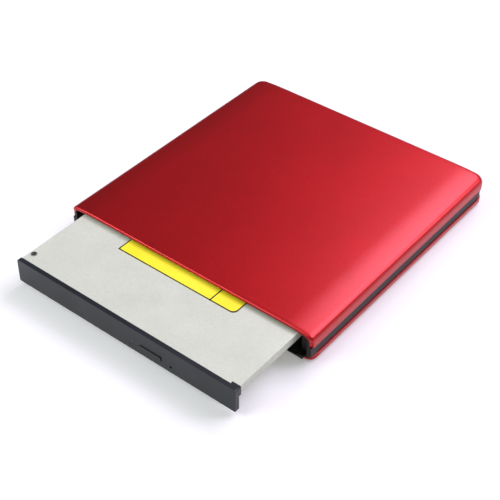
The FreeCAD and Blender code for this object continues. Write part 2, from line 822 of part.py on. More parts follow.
def board_parts():
    """Bridge chip, capacitors, crystal and lamp on the adapter board."""
    chip = new_piece("bridge_chip", "case")
    middle = f"({ADAPTER_FRONT}+adapter_depth/2-chip_forward)"
    solid(chip, "XY", ADAPTER_TOP, "chip_height",
          rect("-chip_left-chip_side/2", "-chip_left+chip_side/2",
               f"{middle}-chip_side/2", f"{middle}+chip_side/2"))
    caps = new_piece("board_capacitors", "case")
    for across in ("capacitor_right", "capacitor_left", "adapter_width/2-capacitor_edge"):
        solid(caps, "XY", ADAPTER_TOP, "capacitor_height",
              rect(f"{across}-capacitor_width/2", f"{across}+capacitor_width/2",
                   f"{ADAPTER_FRONT}+capacitor_front", f"{ADAPTER_FRONT}+capacitor_front+capacitor_length"))
    crystal = new_piece("crystal_can", "case")
    start = f"{ADAPTER_FRONT}+crystal_front"
    solid(crystal, "XY", ADAPTER_TOP, "crystal_height",
          rounded("crystal_left", "(crystal_left+crystal_length)", f"({start})", f"({start}+crystal_width)",
                  "crystal_rounding"))
    lamp = new_piece("status_lamp", "case")
    solid(lamp, "XZ", f"{REAR_IN}-light_reach", f"{PORT_FACE}-{REAR_IN}+light_reach",
          ring("light_side", f"{ADAPTER_TOP}+power_axis", "light_radius"))
    solid(lamp, "XY", ADAPTER_TOP, "power_axis",
          rect("light_side-light_leg/2", "light_side+light_leg/2",
               f"{REAR_IN}-light_reach+nest_gap", f"{REAR_IN}-light_reach+nest_gap+light_leg"))


def usb_socket():
    """Mini-B socket: folded steel shell and the moulded tongue in it."""
    shell = new_piece("usb_socket", "case")
    left, right = "(usb_side-usb_width/2)", "(usb_side+usb_width/2)"
    top = f"({ADAPTER_TOP}+usb_height)"
    solid(shell, "XZ", f"{PORT_FACE}-usb_length", "usb_length",
          rounded(left, right, ADAPTER_TOP, top, "usb_rounding"))
    hollow(shell, "XZ", f"{PORT_FACE}-usb_length+usb_back", "usb_length",
           rounded(f"({left}+usb_wall)", f"({right}-usb_wall)", f"({ADAPTER_TOP}+usb_wall)",
                   f"({top}-usb_wall)", "(usb_rounding-usb_wall)"))
    tongue = new_piece("usb_tongue", "case")
    solid(tongue, "XZ", f"{PORT_FACE}-usb_length+usb_back", "usb_length-usb_back-tongue_inset",
          rect("usb_side-tongue_width/2", "usb_side+tongue_width/2",
               f"{top}-usb_wall-tongue_gap-tongue_thickness", f"{top}-usb_wall-tongue_gap"))
    solid(tongue, "XZ", f"{PORT_FACE}-usb_length+usb_back", "tongue_root",
          rect(f"{left}+usb_wall+tongue_root_inset", f"{right}-usb_wall-tongue_root_inset",
               f"{ADAPTER_TOP}+usb_wall", f"{top}-usb_wall"))


def power_socket():
    """Barrel socket for the mains adapter, with its centre pin."""
    socket = new_piece("power_socket", "case")
    axis = f"({ADAPTER_TOP}+power_axis)"
    wall_face = f"({REAR_IN}-nest_gap)"
    solid(socket, "XZ", f"{wall_face}-power_length", "power_length",
          rect("power_side-power_width/2", "power_side+power_width/2", ADAPTER_TOP, f"{axis}+power_above"))
    solid(socket, "XZ", f"{wall_face}-{ROOT}", f"{PORT_FACE}-{wall_face}+{ROOT}",
          ring("power_side", axis, "power_bore+port_gap"))
    bore_start = f"{wall_face}-power_length+power_back"
    hollow(socket, "XZ", bore_start, f"{PORT_FACE}-{wall_face}+power_length",
           ring("power_side", axis, "power_bore"))
    pin = new_piece("power_pin", "case")
    solid(pin, "XZ", bore_start, "power_pin_length", ring("power_side", axis, "power_pin"))


def sata_receptacle():
    """Socket on the adapter board whose nose enters the drive's plug."""
    body = new_piece("sata_receptacle", "case")
    axis = "(plug_axis+drive_lift)"
    left, right = "(plug_side-plug_width/2)", "(plug_side+plug_width/2)"
    solid(body, "XZ", ADAPTER_FRONT, "receptacle_depth",
          rect(left, right, ADAPTER_TOP, f"{axis}+plug_height/2"))
    inset = "(plug_wall+nose_gap)"
    solid(body, "XZ", f"{ADAPTER_FRONT}-nose_length", f"nose_length+{ROOT}",
          rect(f"{left}+{inset}", f"{right}-{inset}", f"{axis}-plug_height/2+{inset}",
               f"{axis}+plug_height/2-{inset}"))
    slots = [
        rect(f"{low}-slot_gap", f"{high}+slot_gap", f"{axis}-blade_height/2-slot_gap",
             f"{axis}+blade_height/2+slot_gap")
        for low, high in blade_spans()
    ]
    hollow(body, "XZ", f"{ADAPTER_FRONT}-nose_length-{OVER}", f"slot_depth+{OVER}", *slots)


def blade_spans():
    """Left and right edges of the plug's signal and power blades."""
    total = "(signal_width+blade_parting+power_blade_width)"
    start = f"plug_side-{total}/2"
    return [
        (start, f"{start}+signal_width"),
        (f"{start}+signal_width+blade_parting", f"{start}+{total}"),
    ]


# ---------------------------------------------------------------- the drive's fixed part

def chassis_pan():
    """Pressed steel pan, full height at the left and stepped in under the right side."""
    pan = new_piece("chassis_pan", "drive")
    outside = [
        (f"-{HALF_PAN}", "0", None), (STEP, "0", None), (STEP, "step_height", None),
        (HALF_PAN, "step_height", None), (HALF_PAN, PAN_TOP, None), (f"-{HALF_PAN}", PAN_TOP, None),
    ]
    solid(pan, "XZ", "pan_front", "drive_length-pan_front", outside)
    inside = [
        (f"-{PAN_IN}", "pan_sheet", None), (f"{STEP}-pan_sheet", "pan_sheet", None),
        (f"{STEP}-pan_sheet", "step_height+pan_sheet", None), (PAN_IN, "step_height+pan_sheet", None),
        (PAN_IN, f"{PAN_TOP}+{OVER}", None), (f"-{PAN_IN}", f"{PAN_TOP}+{OVER}", None),
    ]
    hollow(pan, "XZ", f"pan_front-{OVER}", f"drive_length-pan_front-pan_sheet+{OVER}", inside)
    left, right = "plug_side-plug_width/2-nest_gap", "plug_side+plug_width/2+nest_gap"
    hollow(pan, "XZ", f"drive_length-pan_sheet-{OVER}", f"pan_sheet+2*{OVER}",
           rect(left, right, f"{DRIVE_BOARD_TOP}-nest_gap", "plug_axis+plug_height/2+nest_gap"))
    half_ear = "(cover_screw_inset-cover_sheet-nest_gap)"
    for across, along in cover_screw_spots():
        solid(pan, "XY", f"{PAN_TOP}-pan_sheet", "pan_sheet",
              rect(f"{across}-{half_ear}", f"{across}+{half_ear}",
                   f"{along}-ear_length/2", f"{along}+ear_length/2"))
        hollow(pan, "XY", f"{PAN_TOP}-pan_sheet-{OVER}", f"pan_sheet+2*{OVER}",
               ring(across, along, "fine_radius"))


def cover_screw_spots():
    side = "(drive_width/2-cover_screw_inset)"
    front, back = "pan_front+ear_length/2+ear_front", "drive_length-pan_sheet-ear_length/2"
    return [(f"-{side}", front), (f"-{side}", back), (side, back)]


def top_cover():
    """Thin lid, folded down outside the pan's walls and rolled at its front edge."""
    cover = new_piece("top_cover", "drive")
    half = "drive_width/2"
    section = [
        (f"-{half}", f"{PAN_TOP}-flange_height", None), (f"-{HALF_PAN}", f"{PAN_TOP}-flange_height", None),
        (f"-{HALF_PAN}", PAN_TOP, None), (HALF_PAN, PAN_TOP, None),
        (HALF_PAN, f"{PAN_TOP}-flange_height", None), (half, f"{PAN_TOP}-flange_height", None),
        (half, "drive_height", None), (f"-{half}", "drive_height", None),
    ]
    solid(cover, "XZ", "pan_front", "drive_length-pan_front", section)
    hollow(cover, "XY", f"{PAN_TOP}-flange_height-{OVER}", f"flange_height+cover_sheet+2*{OVER}",
           rect("bezel_width/2-return_width-return_gap", f"bezel_width/2+{OVER}",
                "0", "bezel_depth+return_depth+return_gap"))
    for spot in cover_screw_spots():
        hollow(cover, "XY", f"{PAN_TOP}-{OVER}", f"cover_sheet+2*{OVER}", ring(*spot, "fine_radius"))


def cover_trim():
    """The lid's screws and the blank film label on it."""
    screws = new_piece("cover_screws", "drive")
    for spot in cover_screw_spots():
        solid(screws, "XY", "drive_height", "fine_head_height", ring(*spot, "fine_head_radius"))
        solid(screws, "XY", f"{PAN_TOP}-cover_screw_length", f"cover_screw_length+cover_sheet+{ROOT}",
              ring(*spot, "fine_radius"))
    label = new_piece("blank_label", "drive")
    outline = rounded("(-label_left)", "label_right", "label_front", "(label_front+label_length)",
                      "label_corner")
    solid(label, "XY", "drive_height", "label_film", outline)


def drive_board():
    """The drive's board at the back of the pan, its chips and its plug."""
    board = new_piece("drive_board", "drive")
    back = "(drive_length-pan_sheet-nest_gap)"
    front = f"({back}-drive_board_depth)"
    solid(board, "XY", "drive_board_base", "drive_board_thickness",
          rect("-drive_board_width/2", "drive_board_width/2", front, back))
    chips = new_piece("drive_chips", "drive")
    solid(chips, "XY", DRIVE_BOARD_TOP, "controller_height",
          rect("controller_left", "controller_left+controller_side",
               f"{front}+controller_front", f"{front}+controller_front+controller_side"),
          rect("memory_left", "memory_left+memory_width",
               f"{front}+memory_front", f"{front}+memory_front+small_chip_length"),
          rect("-driver_left", "-driver_left+driver_width",
               f"{front}+driver_front", f"{front}+driver_front+small_chip_length"))
    socket = new_piece("flex_socket", "drive")
    left, right = "flex_side-flex_width/2", "flex_side+flex_width/2"
    entry = f"({DRIVE_BOARD_TOP}+flex_lift)"
    solid(socket, "XY", DRIVE_BOARD_TOP, "flex_socket_height",
          rect(f"{left}-flex_socket_wall", f"{right}+flex_socket_wall", front, f"{front}+flex_socket_depth"))
    hollow(socket, "XZ", f"{front}-{OVER}", f"flex_slot_depth+{OVER}",
           rect(f"{left}-nest_gap", f"{right}+nest_gap", entry, f"{entry}+flex_film"))
    flex = new_piece("flex_cable", "drive")
    low = "(pan_sheet+run_gap)"
    section = [
        ("flex_front", low, None), (f"{front}-flex_rise", low, None), (f"{front}-flex_level", entry, None),
        (f"{front}+flex_entry", entry, None), (f"{front}+flex_entry", f"{entry}+flex_film", None),
        (f"{front}-flex_level-nest_gap", f"{entry}+flex_film", None),
        (f"{front}-flex_rise-nest_gap", f"{low}+flex_film", None), ("flex_front", f"{low}+flex_film", None),
    ]
    solid(flex, "YZ", left, "flex_width", section)


def drive_plug():
    """Shrouded plug at the drive's back with its signal and power blades."""
    plug = new_piece("drive_plug", "drive")
    left, right = "(plug_side-plug_width/2)", "(plug_side+plug_width/2)"
    low, high = "(plug_axis-plug_height/2)", "(plug_axis+plug_height/2)"
    solid(plug, "XZ", "drive_length-plug_depth", "plug_depth", rect(left, right, low, high))
    hollow(plug, "XZ", "drive_length-plug_room", f"plug_room+{OVER}",
           rect(f"{left}+plug_wall", f"{right}-plug_wall", f"{low}+plug_wall", f"{high}-plug_wall"))
    blades = [
        rect(start, end, "plug_axis-blade_height/2", "plug_axis+blade_height/2") for start, end in blade_spans()
    ]
    solid(plug, "XZ", f"drive_length-plug_room-{ROOT}", f"blade_length+{ROOT}", *blades)


def pan_fittings():
    """Left runner guide, latch pin and the spring that starts the tray on its way."""
    guide = new_piece("rail_guide", "drive")
    inner = f"({PAN_IN}-guide_thickness)"
    solid(guide, "XZ", "pan_front+guide_front", "drive_length-guide_back-pan_front-guide_front",
          rect(f"-{PAN_IN}", f"-{inner}", "pan_sheet+guide_base", "step_height+pan_sheet"))
    pin = new_piece("latch_pin", "drive")
    solid(pin, "XY", "pan_sheet", "latch_pin_top-pan_sheet",
          ring("latch_pin_side", "latch_pin_back", "latch_pin_radius"))
    spring = new_piece("kick_spring", "drive")
    axis = ("spring_side", "drive_length-pan_sheet-spring_radius")
    solid(spring, "XY", "spring_base", "spring_height", ring(*axis, "spring_radius", "spring_core"))
    arm_low = "spring_base+spring_arm_rise"
    solid(spring, "XZ", "tray_back+spring_gap", "spring_wire",
          rect("spring_arm_end", "spring_side-spring_wire", arm_low, f"{arm_low}+spring_arm_height"))
    solid(spring, "XY", DRIVE_BOARD_TOP, f"spring_base+spring_height+nest_gap-{DRIVE_BOARD_TOP}",
          ring(*axis, "spring_core"))


def runner(label, sign):
    """Steel runner that carries one edge of the tray and moves half as far as it."""
    rail = new_piece(label, "drive")
    strip = f"({RAIL_FACE}-rail_strip)"
    lip = f"({RAIL_FACE}-rail_lip_width)"
    section = [
        (f"{sign}{lip}", LIP_BASE, None), (f"{sign}{RAIL_FACE}", LIP_BASE, None),
        (f"{sign}{RAIL_FACE}", f"{LIP_BASE}+rail_height", None),
        (f"{sign}{strip}", f"{LIP_BASE}+rail_height", None),
        (f"{sign}{strip}", f"{LIP_BASE}+rail_lip", None), (f"{sign}{lip}", f"{LIP_BASE}+rail_lip", None),
    ]
    solid(rail, "XZ", "rail_front", "rail_length", section)


# ---------------------------------------------------------------- the tray

def turned(across, along):
    """A spot of the mech frame as a spot of the drive frame."""
    angle = "mech_turn*1 deg"
    return (f"(({across})*cos({angle})-({along})*sin({angle}))",
            f"(disc_centre+({across})*sin({angle})+({along})*cos({angle}))")


def turned_rect(left, right, low, high):
    corners = ((left, low), (right, low), (right, high), (left, high))
    return [(*turned(across, along), None) for across, along in corners]


def tray_frame():
    """Moulded tray: deck, thin running edges, disc recess, mechanism window and posts."""
    tray = new_piece("tray_frame", "drive")
    edge = "(tray_width/2)"
    left, right = f"(-{edge}+edge_width)", f"({STEP}-pan_sheet-step_gap)"
    length = "tray_back-bezel_depth"
    solid(tray, "XZ", "bezel_depth", length, rect(left, right, DECK_BASE, "tray_top"))
    solid(tray, "XZ", "bezel_depth", length, rect(f"-{edge}", edge, EDGE_BASE, "tray_top"))
    solid(tray, "XZ", "bezel_depth", length,
          rect(f"{right}-{ROOT}", f"{edge}-edge_width-right_edge_inset", f"{LIP_BASE}+slide_gap", "tray_top"))
    hollow(tray, "XY", "tray_top-recess_depth", f"recess_depth+{OVER}",
           ring("0", "disc_centre", "recess_radius"))
    window = turned_rect("-plate_left+mech_cover_left-window_gap", "plate_right-mech_cover_right+window_gap",
                         "-plate_outer-window_gap", "plate_inner+mech_cover_near+window_gap")
    hollow(tray, "XY", f"{DECK_BASE}-{OVER}", f"deck_thickness+2*{OVER}", window)
    for spot in SHIELD_POSTS:
        solid(tray, "XY", "shield_base+shield_sheet", f"{DECK_BASE}-shield_base-shield_sheet+{ROOT}",
              ring(*spot, "post_radius"))
        hollow(tray, "XY", "shield_base", "shield_screw_length+slide_gap", ring(*spot, "fine_radius"))
    for across in ("button_post_left", "button_post_right"):
        solid(tray, "XY", "button_board_base+button_board_sheet",
              f"{DECK_BASE}-button_board_base-button_board_sheet+{ROOT}",
              ring(across, "button_post_back", "button_post_radius"))
    for spot in DAMPERS:
        hollow(tray, "XY", f"{DECK_BASE}-{OVER}", f"{OVER}+damper_screw_reach+slide_gap",
               ring(*turned(*spot), "fine_radius"))
    solid(tray, "XY", "latch_base-pivot_below", f"{DECK_BASE}-latch_base+pivot_below+{ROOT}",
          ring("latch_pivot_side", "latch_pivot_back", "latch_pivot_radius"))


def bezel():
    """Front plate with the openings of the button, the lamp and the emergency release."""
    plate = new_piece("bezel", "drive")
    half = "(bezel_width/2)"
    solid(plate, "XZ", "0", "bezel_depth", rounded(f"(-{half})", half, "0", "bezel_height", "bezel_rounding"))
    solid(plate, "XZ", f"bezel_depth-{ROOT}", f"return_depth+{ROOT}",
          rect(f"{half}-return_width", half, f"{PAN_TOP}+nest_gap", "bezel_height-nest_gap"))
    solid(plate, "XZ", f"bezel_depth-{ROOT}", f"return_depth+{ROOT}",
          rect(f"{HALF_PAN}+slide_gap", half, f"{PAN_TOP}-flange_height-return_low", f"{PAN_TOP}+nest_gap"))
    opening = rounded("(button_side-button_width/2-button_gap)", "(button_side+button_width/2+button_gap)",
                      "(button_axis-button_height/2-button_gap)", "(button_axis+button_height/2+button_gap)",
                      "(button_rounding+nest_gap)")
    release = ring("release_side", "button_axis-release_low", "release_radius")
    lamp = ring("lamp_side", "lamp_axis", "lamp_radius+nest_gap")
    for hole in (opening, release, lamp):
        hollow(plate, "XZ", f"-{OVER}", f"bezel_depth+2*{OVER}", hole)


def button_group():
    """Eject button, its switch and the lamp, on a small board behind the bezel."""
    button = new_piece("eject_button", "drive")
    cap = rounded("(button_side-button_width/2)", "(button_side+button_width/2)",
                  "(button_axis-button_height/2)", "(button_axis+button_height/2)", "button_rounding")
    solid(button, "XZ", "-button_proud", "bezel_depth+button_proud", cap)
    solid(button, "XZ", f"bezel_depth-{ROOT}", f"button_stem-bezel_depth+{ROOT}",
          rect("button_side-stem_width/2", "button_side+stem_width/2",
               "button_axis-stem_height/2", "button_axis+stem_height/2"))
    board = new_piece("button_board", "drive")
    solid(board, "XY", "button_board_base", "button_board_sheet",
          rect("button_board_left", "button_board_right", "bezel_depth+button_board_gap", "button_board_back"))
    top = "(button_board_base+button_board_sheet)"
    switch = new_piece("eject_switch", "drive")
    solid(switch, "XZ", "switch_front", "switch_length",
          rect("button_side-switch_width/2", "button_side+switch_width/2", top, "button_axis+switch_above"))
    lamp = new_piece("activity_lamp", "drive")
    solid(lamp, "XZ", "nest_gap", "switch_front", ring("lamp_side", "lamp_axis", "lamp_radius"))
    solid(lamp, "XZ", f"switch_front-{ROOT}", "lamp_body_length",
          rect("lamp_side-lamp_body_width/2", "lamp_side+lamp_body_width/2",
               top, "lamp_axis+lamp_radius+nest_gap"))


def tray_fittings():
    """Bottom shield and its screws, latch magnet and latch lever."""
    shield = new_piece("mech_shield", "drive")
    solid(shield, "XY", "shield_base", "shield_sheet",
          rect("-shield_left", "latch_pin_side-shield_pin_gap", "bezel_depth+shield_front", "shield_back"))
    screws = new_piece("shield_screws", "drive")
    for spot in SHIELD_POSTS:
        hollow(shield, "XY", f"shield_base-{OVER}", f"shield_sheet+2*{OVER}", ring(*spot, "fine_head_radius"))
        solid(screws, "XY", "shield_base", "shield_sheet", ring(*spot, "fine_head_radius"))
        solid(screws, "XY", "shield_base+nest_gap", "shield_screw_length-nest_gap",
              ring(*spot, "fine_radius"))
    magnet = new_piece("latch_magnet", "drive")
    solid(magnet, "XY", "magnet_base", f"{DECK_BASE}-magnet_base",
          rect("magnet_left", "magnet_left+magnet_width", "magnet_front", "magnet_front+magnet_length"))
    lever = new_piece("latch_lever", "drive")
    arm_left, arm_right = "(latch_pivot_side-lever_half)", "(latch_pivot_side+lever_half)"
    hook = "latch_pin_side-latch_pin_radius-hook_gap"
    outline = [
        (arm_left, "latch_pivot_back-lever_front", None), (arm_right, "latch_pivot_back-lever_front", None),
        (arm_right, "latch_pivot_back+lever_right_bend", None),
        ("latch_pin_side-hook_root", "latch_pin_back+hook_start", None),
        (hook, "latch_pin_back+hook_front", None), (hook, "latch_pin_back+hook_back", None),
        ("latch_pin_side-hook_width", "latch_pin_back+hook_back", None),
        (arm_left, "latch_pivot_back+lever_left_bend", None),
    ]
    solid(lever, "XY", "latch_base", "latch_thickness", outline)
    hollow(lever, "XY", f"latch_base-{OVER}", f"latch_thickness+2*{OVER}",
           ring("latch_pivot_side", "latch_pivot_back", "latch_pivot_radius+run_gap"))


# ---------------------------------------------------------------- the mechanism

def mech_plate():
    """Steel plate that carries the spindle, the guide rods and the feed motor."""
    plate = new_piece("mech_plate", "mech")
    solid(plate, "XY", "plate_base", "plate_sheet",
          rect("-plate_left", "plate_right", "-plate_outer", "plate_inner"))
    (left, left_along), (right, right_along), (near, near_along) = DAMPERS
    tabs = [
        rect(f"{left}-tab_end", "-plate_left+tab_root", f"{left_along}-tab_half", f"{left_along}+tab_half"),
        rect("plate_right-tab_root", f"{right}+tab_end", f"{right_along}-tab_half", f"{right_along}+tab_half"),
        rect(f"{near}-tab_half", f"{near}+tab_half", "plate_inner-tab_root", f"{near_along}+tab_end"),
    ]
    for tab in tabs:
        solid(plate, "XY", "plate_base", "plate_sheet", tab)
    hollow(plate, "XY", f"plate_base-{OVER}", f"plate_sheet+2*{OVER}",
           rect("-rod_left+plate_window_left", "rod_right-plate_window_right",
                "-plate_outer+plate_window_outer", "-block_inner-plate_window_inner"))
    for spot in DAMPERS:
        hollow(plate, "XY", f"plate_base-{OVER}", f"plate_sheet+2*{OVER}", ring(*spot, "fine_radius"))
    far, near = "-plate_outer", "-block_inner-block_thickness"
    solid(plate, "XZ", far, "block_thickness",
          rect("-plate_left", "plate_right", "plate_base", "block_top"))
    for left in ("-plate_left+pillar_left", "plate_right-pillar_right-pillar_width"):
        solid(plate, "XZ", far, "block_thickness",
              rect(left, f"{left}+pillar_width", f"block_top-{ROOT}", "mech_cover_base"))
    blocks = [
        ("-rod_left-rod_block_out", "-rod_left+rod_block_in"),
        ("rod_right-rod_block_in", "rod_right+rod_block_out"),
    ]
    for left, right in blocks:
        solid(plate, "XZ", near, "block_thickness", rect(left, right, "plate_base", "mech_cover_base"))
    bores = [ring("-rod_left", "rod_axis", "rod_radius"), ring("rod_right", "rod_axis", "rod_radius")]
    hollow(plate, "XZ", "-plate_outer+rod_seat", f"plate_outer-block_inner+{OVER}", *bores)
    hollow(plate, "XZ", "-plate_outer+rod_seat", "block_thickness",
           ring("lead_screw_side", LEAD_AXIS, "lead_screw_radius+run_gap"))


def mech_cover():
    """Thin steel cover seen in the tray's window, open over the pickup and the spindle."""
    cover = new_piece("mech_cover", "mech")
    solid(cover, "XY", "mech_cover_base", "mech_cover_sheet",
          rect("-plate_left+mech_cover_left", "plate_right-mech_cover_right",
               "-plate_outer", "plate_inner+mech_cover_near"))
    below, through = f"mech_cover_base-{OVER}", f"mech_cover_sheet+2*{OVER}"
    hollow(cover, "XY", below, through, ring("0", "0", "table_radius+table_gap"))
    hollow(cover, "XY", below, through,
           rounded("(-boss_half-slot_side_gap)", "(boss_half+slot_side_gap)",
                   "(-plate_outer+slot_end)", "(-table_radius+slot_overlap)", "slot_rounding"))


def mech_mounting():
    """Guide rods, rubber dampers and the screws through them."""
    rods = new_piece("guide_rods", "mech")
    near = "(block_inner+slide_gap)"
    for across in ("-rod_left", "rod_right"):
        solid(rods, "XZ", "-plate_outer+rod_seat", f"plate_outer-rod_seat-{near}",
              ring(across, "rod_axis", "rod_radius"))
    dampers = new_piece("rubber_dampers", "mech")
    screws = new_piece("damper_screws", "mech")
    for spot in DAMPERS:
        solid(dampers, "XY", PLATE_TOP, f"{DECK_BASE}-{PLATE_TOP}",
              ring(*spot, "damper_radius", "fine_radius"))
        solid(screws, "XY", "plate_base-fine_head_height", "fine_head_height",
              ring(*spot, "fine_head_radius"))
        solid(screws, "XY", f"plate_base-{ROOT}", f"{DECK_BASE}-plate_base+damper_screw_reach+{ROOT}",
              ring(*spot, "fine_radius"))


def feed_drive():
    """Stepping motor and the lead screw that draws the pickup along."""
    motor = new_piece("feed_motor", "mech")
    left, right = "(lead_screw_side-feed_motor_width/2)", "(lead_screw_side+feed_motor_width/2)"
    motor_face = "-block_inner+feed_motor_front"
    solid(motor, "XZ", motor_face, "feed_motor_length",
          rounded(left, right, PLATE_TOP, f"({PLATE_TOP}+feed_motor_height)", "feed_motor_rounding"))
    hollow(motor, "XZ", f"{motor_face}-{OVER}", f"feed_bearing_depth+{OVER}",
           ring("lead_screw_side", LEAD_AXIS, "lead_screw_radius+run_gap"))
    screw = new_piece("lead_screw", "mech")
    solid(screw, "XZ", "-plate_outer+rod_seat+nest_gap",
          "plate_outer-rod_seat-nest_gap-block_inner+feed_motor_front+lead_screw_entry",
          ring("lead_screw_side", LEAD_AXIS, "lead_screw_radius"))


def pickup():
    """Pickup sled on the two rods, with the lens in its sprung holder."""
    sled = new_piece("pickup_sled", "mech")
    outer, inner = "(-lens_radius_in-sled_outer)", "(-lens_radius_in+sled_inner)"
    solid(sled, "XY", "sled_base", "sled_top-sled_base",
          rect("-rod_left-sled_rod_wall", "lead_screw_side-lead_screw_radius-sled_screw_gap", outer, inner))
    solid(sled, "XY", f"sled_top-{ROOT}", f"boss_top-sled_top+{ROOT}",
          rect("-boss_half", "boss_half", outer, f"{inner}-boss_back"))
    hollow(sled, "XY", "sled_base+pocket_floor", "boss_top-sled_base",
           rect("-holder_half-holder_gap", "holder_half+holder_gap",
                "-lens_radius_in-pocket_out", "-lens_radius_in+pocket_in"))
    hollow(sled, "XZ", f"{outer}-{OVER}", f"sled_outer+sled_inner+2*{OVER}",
           ring("-rod_left", "rod_axis", "rod_radius+run_gap"),
           ring("rod_right", "rod_axis", "rod_radius+run_gap"))
    holder = new_piece("lens_holder", "mech")
    solid(holder, "XY", "sled_base+holder_base", "holder_height",
          rect("-holder_half", "holder_half", "-lens_radius_in-holder_out", "-lens_radius_in+holder_in"))
    seat = "(sled_base+holder_base+lens_seat)"
    hollow(holder, "XY", seat, f"holder_height-lens_seat+{OVER}", ring("0", "-lens_radius_in", "lens_radius"))
    lens = new_piece("objective_lens", "mech")
    solid(lens, "XY", seat, f"lens_top-lens_crown-{seat}", ring("0", "-lens_radius_in", "lens_radius"))
    solid(lens, "XY", "lens_top-lens_crown-nest_gap", "lens_crown+nest_gap",
          ring("0", "-lens_radius_in", "lens_radius-lens_rim"))


def spindle():
    """Spindle motor: fixed sleeve and stator, turning can, table, pad, hub and shaft."""
    sleeve = new_piece("bearing_sleeve", "mech")
    solid(sleeve, "XY", PLATE_TOP, f"table_base-sleeve_gap-{PLATE_TOP}",
          ring("0", "0", "sleeve_radius", "rod_radius+run_gap"))
    solid(sleeve, "XY", PLATE_TOP, "sleeve_flange",
          ring("0", "0", "sleeve_flange_radius", "rod_radius+run_gap"))
    stator = new_piece("stator_coils", "mech")
    solid(stator, "XY", "can_base", "table_base-can_base-stator_gap",
          ring("0", "0", "stator_radius", "sleeve_radius"))
    shaft = new_piece("spindle_shaft", "mech")
    solid(shaft, "XY", f"{PLATE_TOP}+slide_gap", f"hub_top-{PLATE_TOP}-slide_gap-shaft_inset",
          ring("0", "0", "rod_radius"))
    table = new_piece("turntable", "mech")
    solid(table, "XY", "table_base", "table_top-table_base", ring("0", "0", "table_radius", "rod_radius"))
    solid(table, "XY", "can_base", f"table_base-can_base+{ROOT}",
          ring("0", "0", "can_radius", "can_radius-can_wall"))
    pad = new_piece("disc_pad", "mech")
    solid(pad, "XY", "table_top", "pad_height", ring("0", "0", "table_radius-pad_rim", "pad_radius_in"))
    hub = new_piece("disc_hub", "mech")
    solid(hub, "XY", "table_top", "hub_top-table_top-hub_step", ring("0", "0", "hub_radius", "rod_radius"))
    solid(hub, "XY", "hub_top-hub_step-nest_gap", "hub_step+nest_gap",
          ring("0", "0", "hub_radius-hub_rim", "rod_radius"))
    slot = hollow(hub, "XY", "jaw_base-nest_gap", "jaw_top-jaw_base+2*nest_gap",
                  rect("jaw_root-jaw_travel-nest_gap", f"hub_radius+{OVER}",
                       "-jaw_width/2-nest_gap", "jaw_width/2+nest_gap"))
    spread = hub.newObject("PartDesign::PolarPattern", "disc_hub_slots")
    spread.Originals = [slot]
    spread.Axis = (origin_item(hub, "Z_Axis"), [""])
    spread.Angle = 360
    spread.Occurrences = JAWS
    hub.Tip = spread


def hub_jaws():
    """Sprung jaws that grip the disc's hole."""
    for number in range(JAWS):
        jaw = new_piece(f"hub_jaw_{number + 1}", "mech", 360 / JAWS * number)
        section = [
            ("jaw_root", "jaw_base", None), ("hub_radius", "jaw_base", None),
            ("jaw_reach", "jaw_base+jaw_point", None), ("hub_radius", "jaw_top", None),
            ("jaw_root", "jaw_top", None),
        ]
        solid(jaw, "XZ", "-jaw_width/2", "jaw_width", section)


def check_model():
    """Stop if any object failed, or any pocket took nothing away."""
    for item in doc.Objects:
        if "Invalid" in item.State or "Error" in item.State:
            raise RuntimeError(f"{item.Label} failed: {item.State}")
        if item.TypeId == "PartDesign::Pocket" and item.BaseFeature is not None:
            if item.Shape.Volume > item.BaseFeature.Shape.Volume - 1e-4:
                raise RuntimeError(f"{item.Label} cut nothing")
    for piece in pieces:
        if piece.Shape.isNull() or not piece.Shape.isValid():
            raise RuntimeError(f"{piece.Label} is not a valid solid")


top_shell()
bottom_shell()
middle_frame()
case_fasteners()
adapter_board()
board_parts()
usb_socket()
power_socket()
sata_receptacle()
chassis_pan()
top_cover()
cover_trim()
drive_board()
drive_plug()
pan_fittings()
runner("left_runner", "-")
runner("right_runner", "")
tray_frame()
bezel()
button_group()
tray_fittings()
mech_plate()
mech_cover()
mech_mounting()
feed_drive()
pickup()
spindle()
hub_jaws()
doc.recompute()
check_model()

os.makedirs("parts", exist_ok=True)
for piece in pieces:
    piece.Shape.exportStep(f"parts/{piece.Label}.step")
    box = piece.Shape.BoundBox
    print(f"{piece.Label:18s} {len(piece.Shape.Solids)} solids, {piece.Shape.Volume:9.1f} mm3, "
          f"{box.XMin:7.2f}..{box.XMax:6.2f} {box.YMin:7.2f}..{box.YMax:6.2f} {box.ZMin:6.2f}..{box.ZMax:5.2f}")
print(len(pieces), "pieces")
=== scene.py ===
"""Looks of the slim optical drive in its two-shell case: finishes, small detail, floor, light and camera."""
import json
import math
import bmesh
import bpy
from mathutils import Matrix, Vector
from mathutils.bvhtree import BVHTree


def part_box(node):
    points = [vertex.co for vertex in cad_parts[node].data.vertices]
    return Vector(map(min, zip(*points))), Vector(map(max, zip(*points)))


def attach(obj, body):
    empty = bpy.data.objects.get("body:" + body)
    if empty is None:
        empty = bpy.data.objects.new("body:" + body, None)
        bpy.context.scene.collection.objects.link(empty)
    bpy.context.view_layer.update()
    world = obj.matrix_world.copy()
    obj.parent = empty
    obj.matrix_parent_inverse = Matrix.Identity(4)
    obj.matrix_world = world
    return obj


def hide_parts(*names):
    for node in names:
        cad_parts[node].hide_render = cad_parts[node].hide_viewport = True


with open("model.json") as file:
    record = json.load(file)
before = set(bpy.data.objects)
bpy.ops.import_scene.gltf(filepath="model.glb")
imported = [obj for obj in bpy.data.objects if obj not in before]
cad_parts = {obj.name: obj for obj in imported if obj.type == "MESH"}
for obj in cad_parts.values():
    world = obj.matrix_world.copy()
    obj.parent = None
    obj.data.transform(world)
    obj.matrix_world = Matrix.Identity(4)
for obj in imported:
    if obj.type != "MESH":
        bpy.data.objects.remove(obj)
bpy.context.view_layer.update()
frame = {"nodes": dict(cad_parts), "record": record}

MM = 0.001
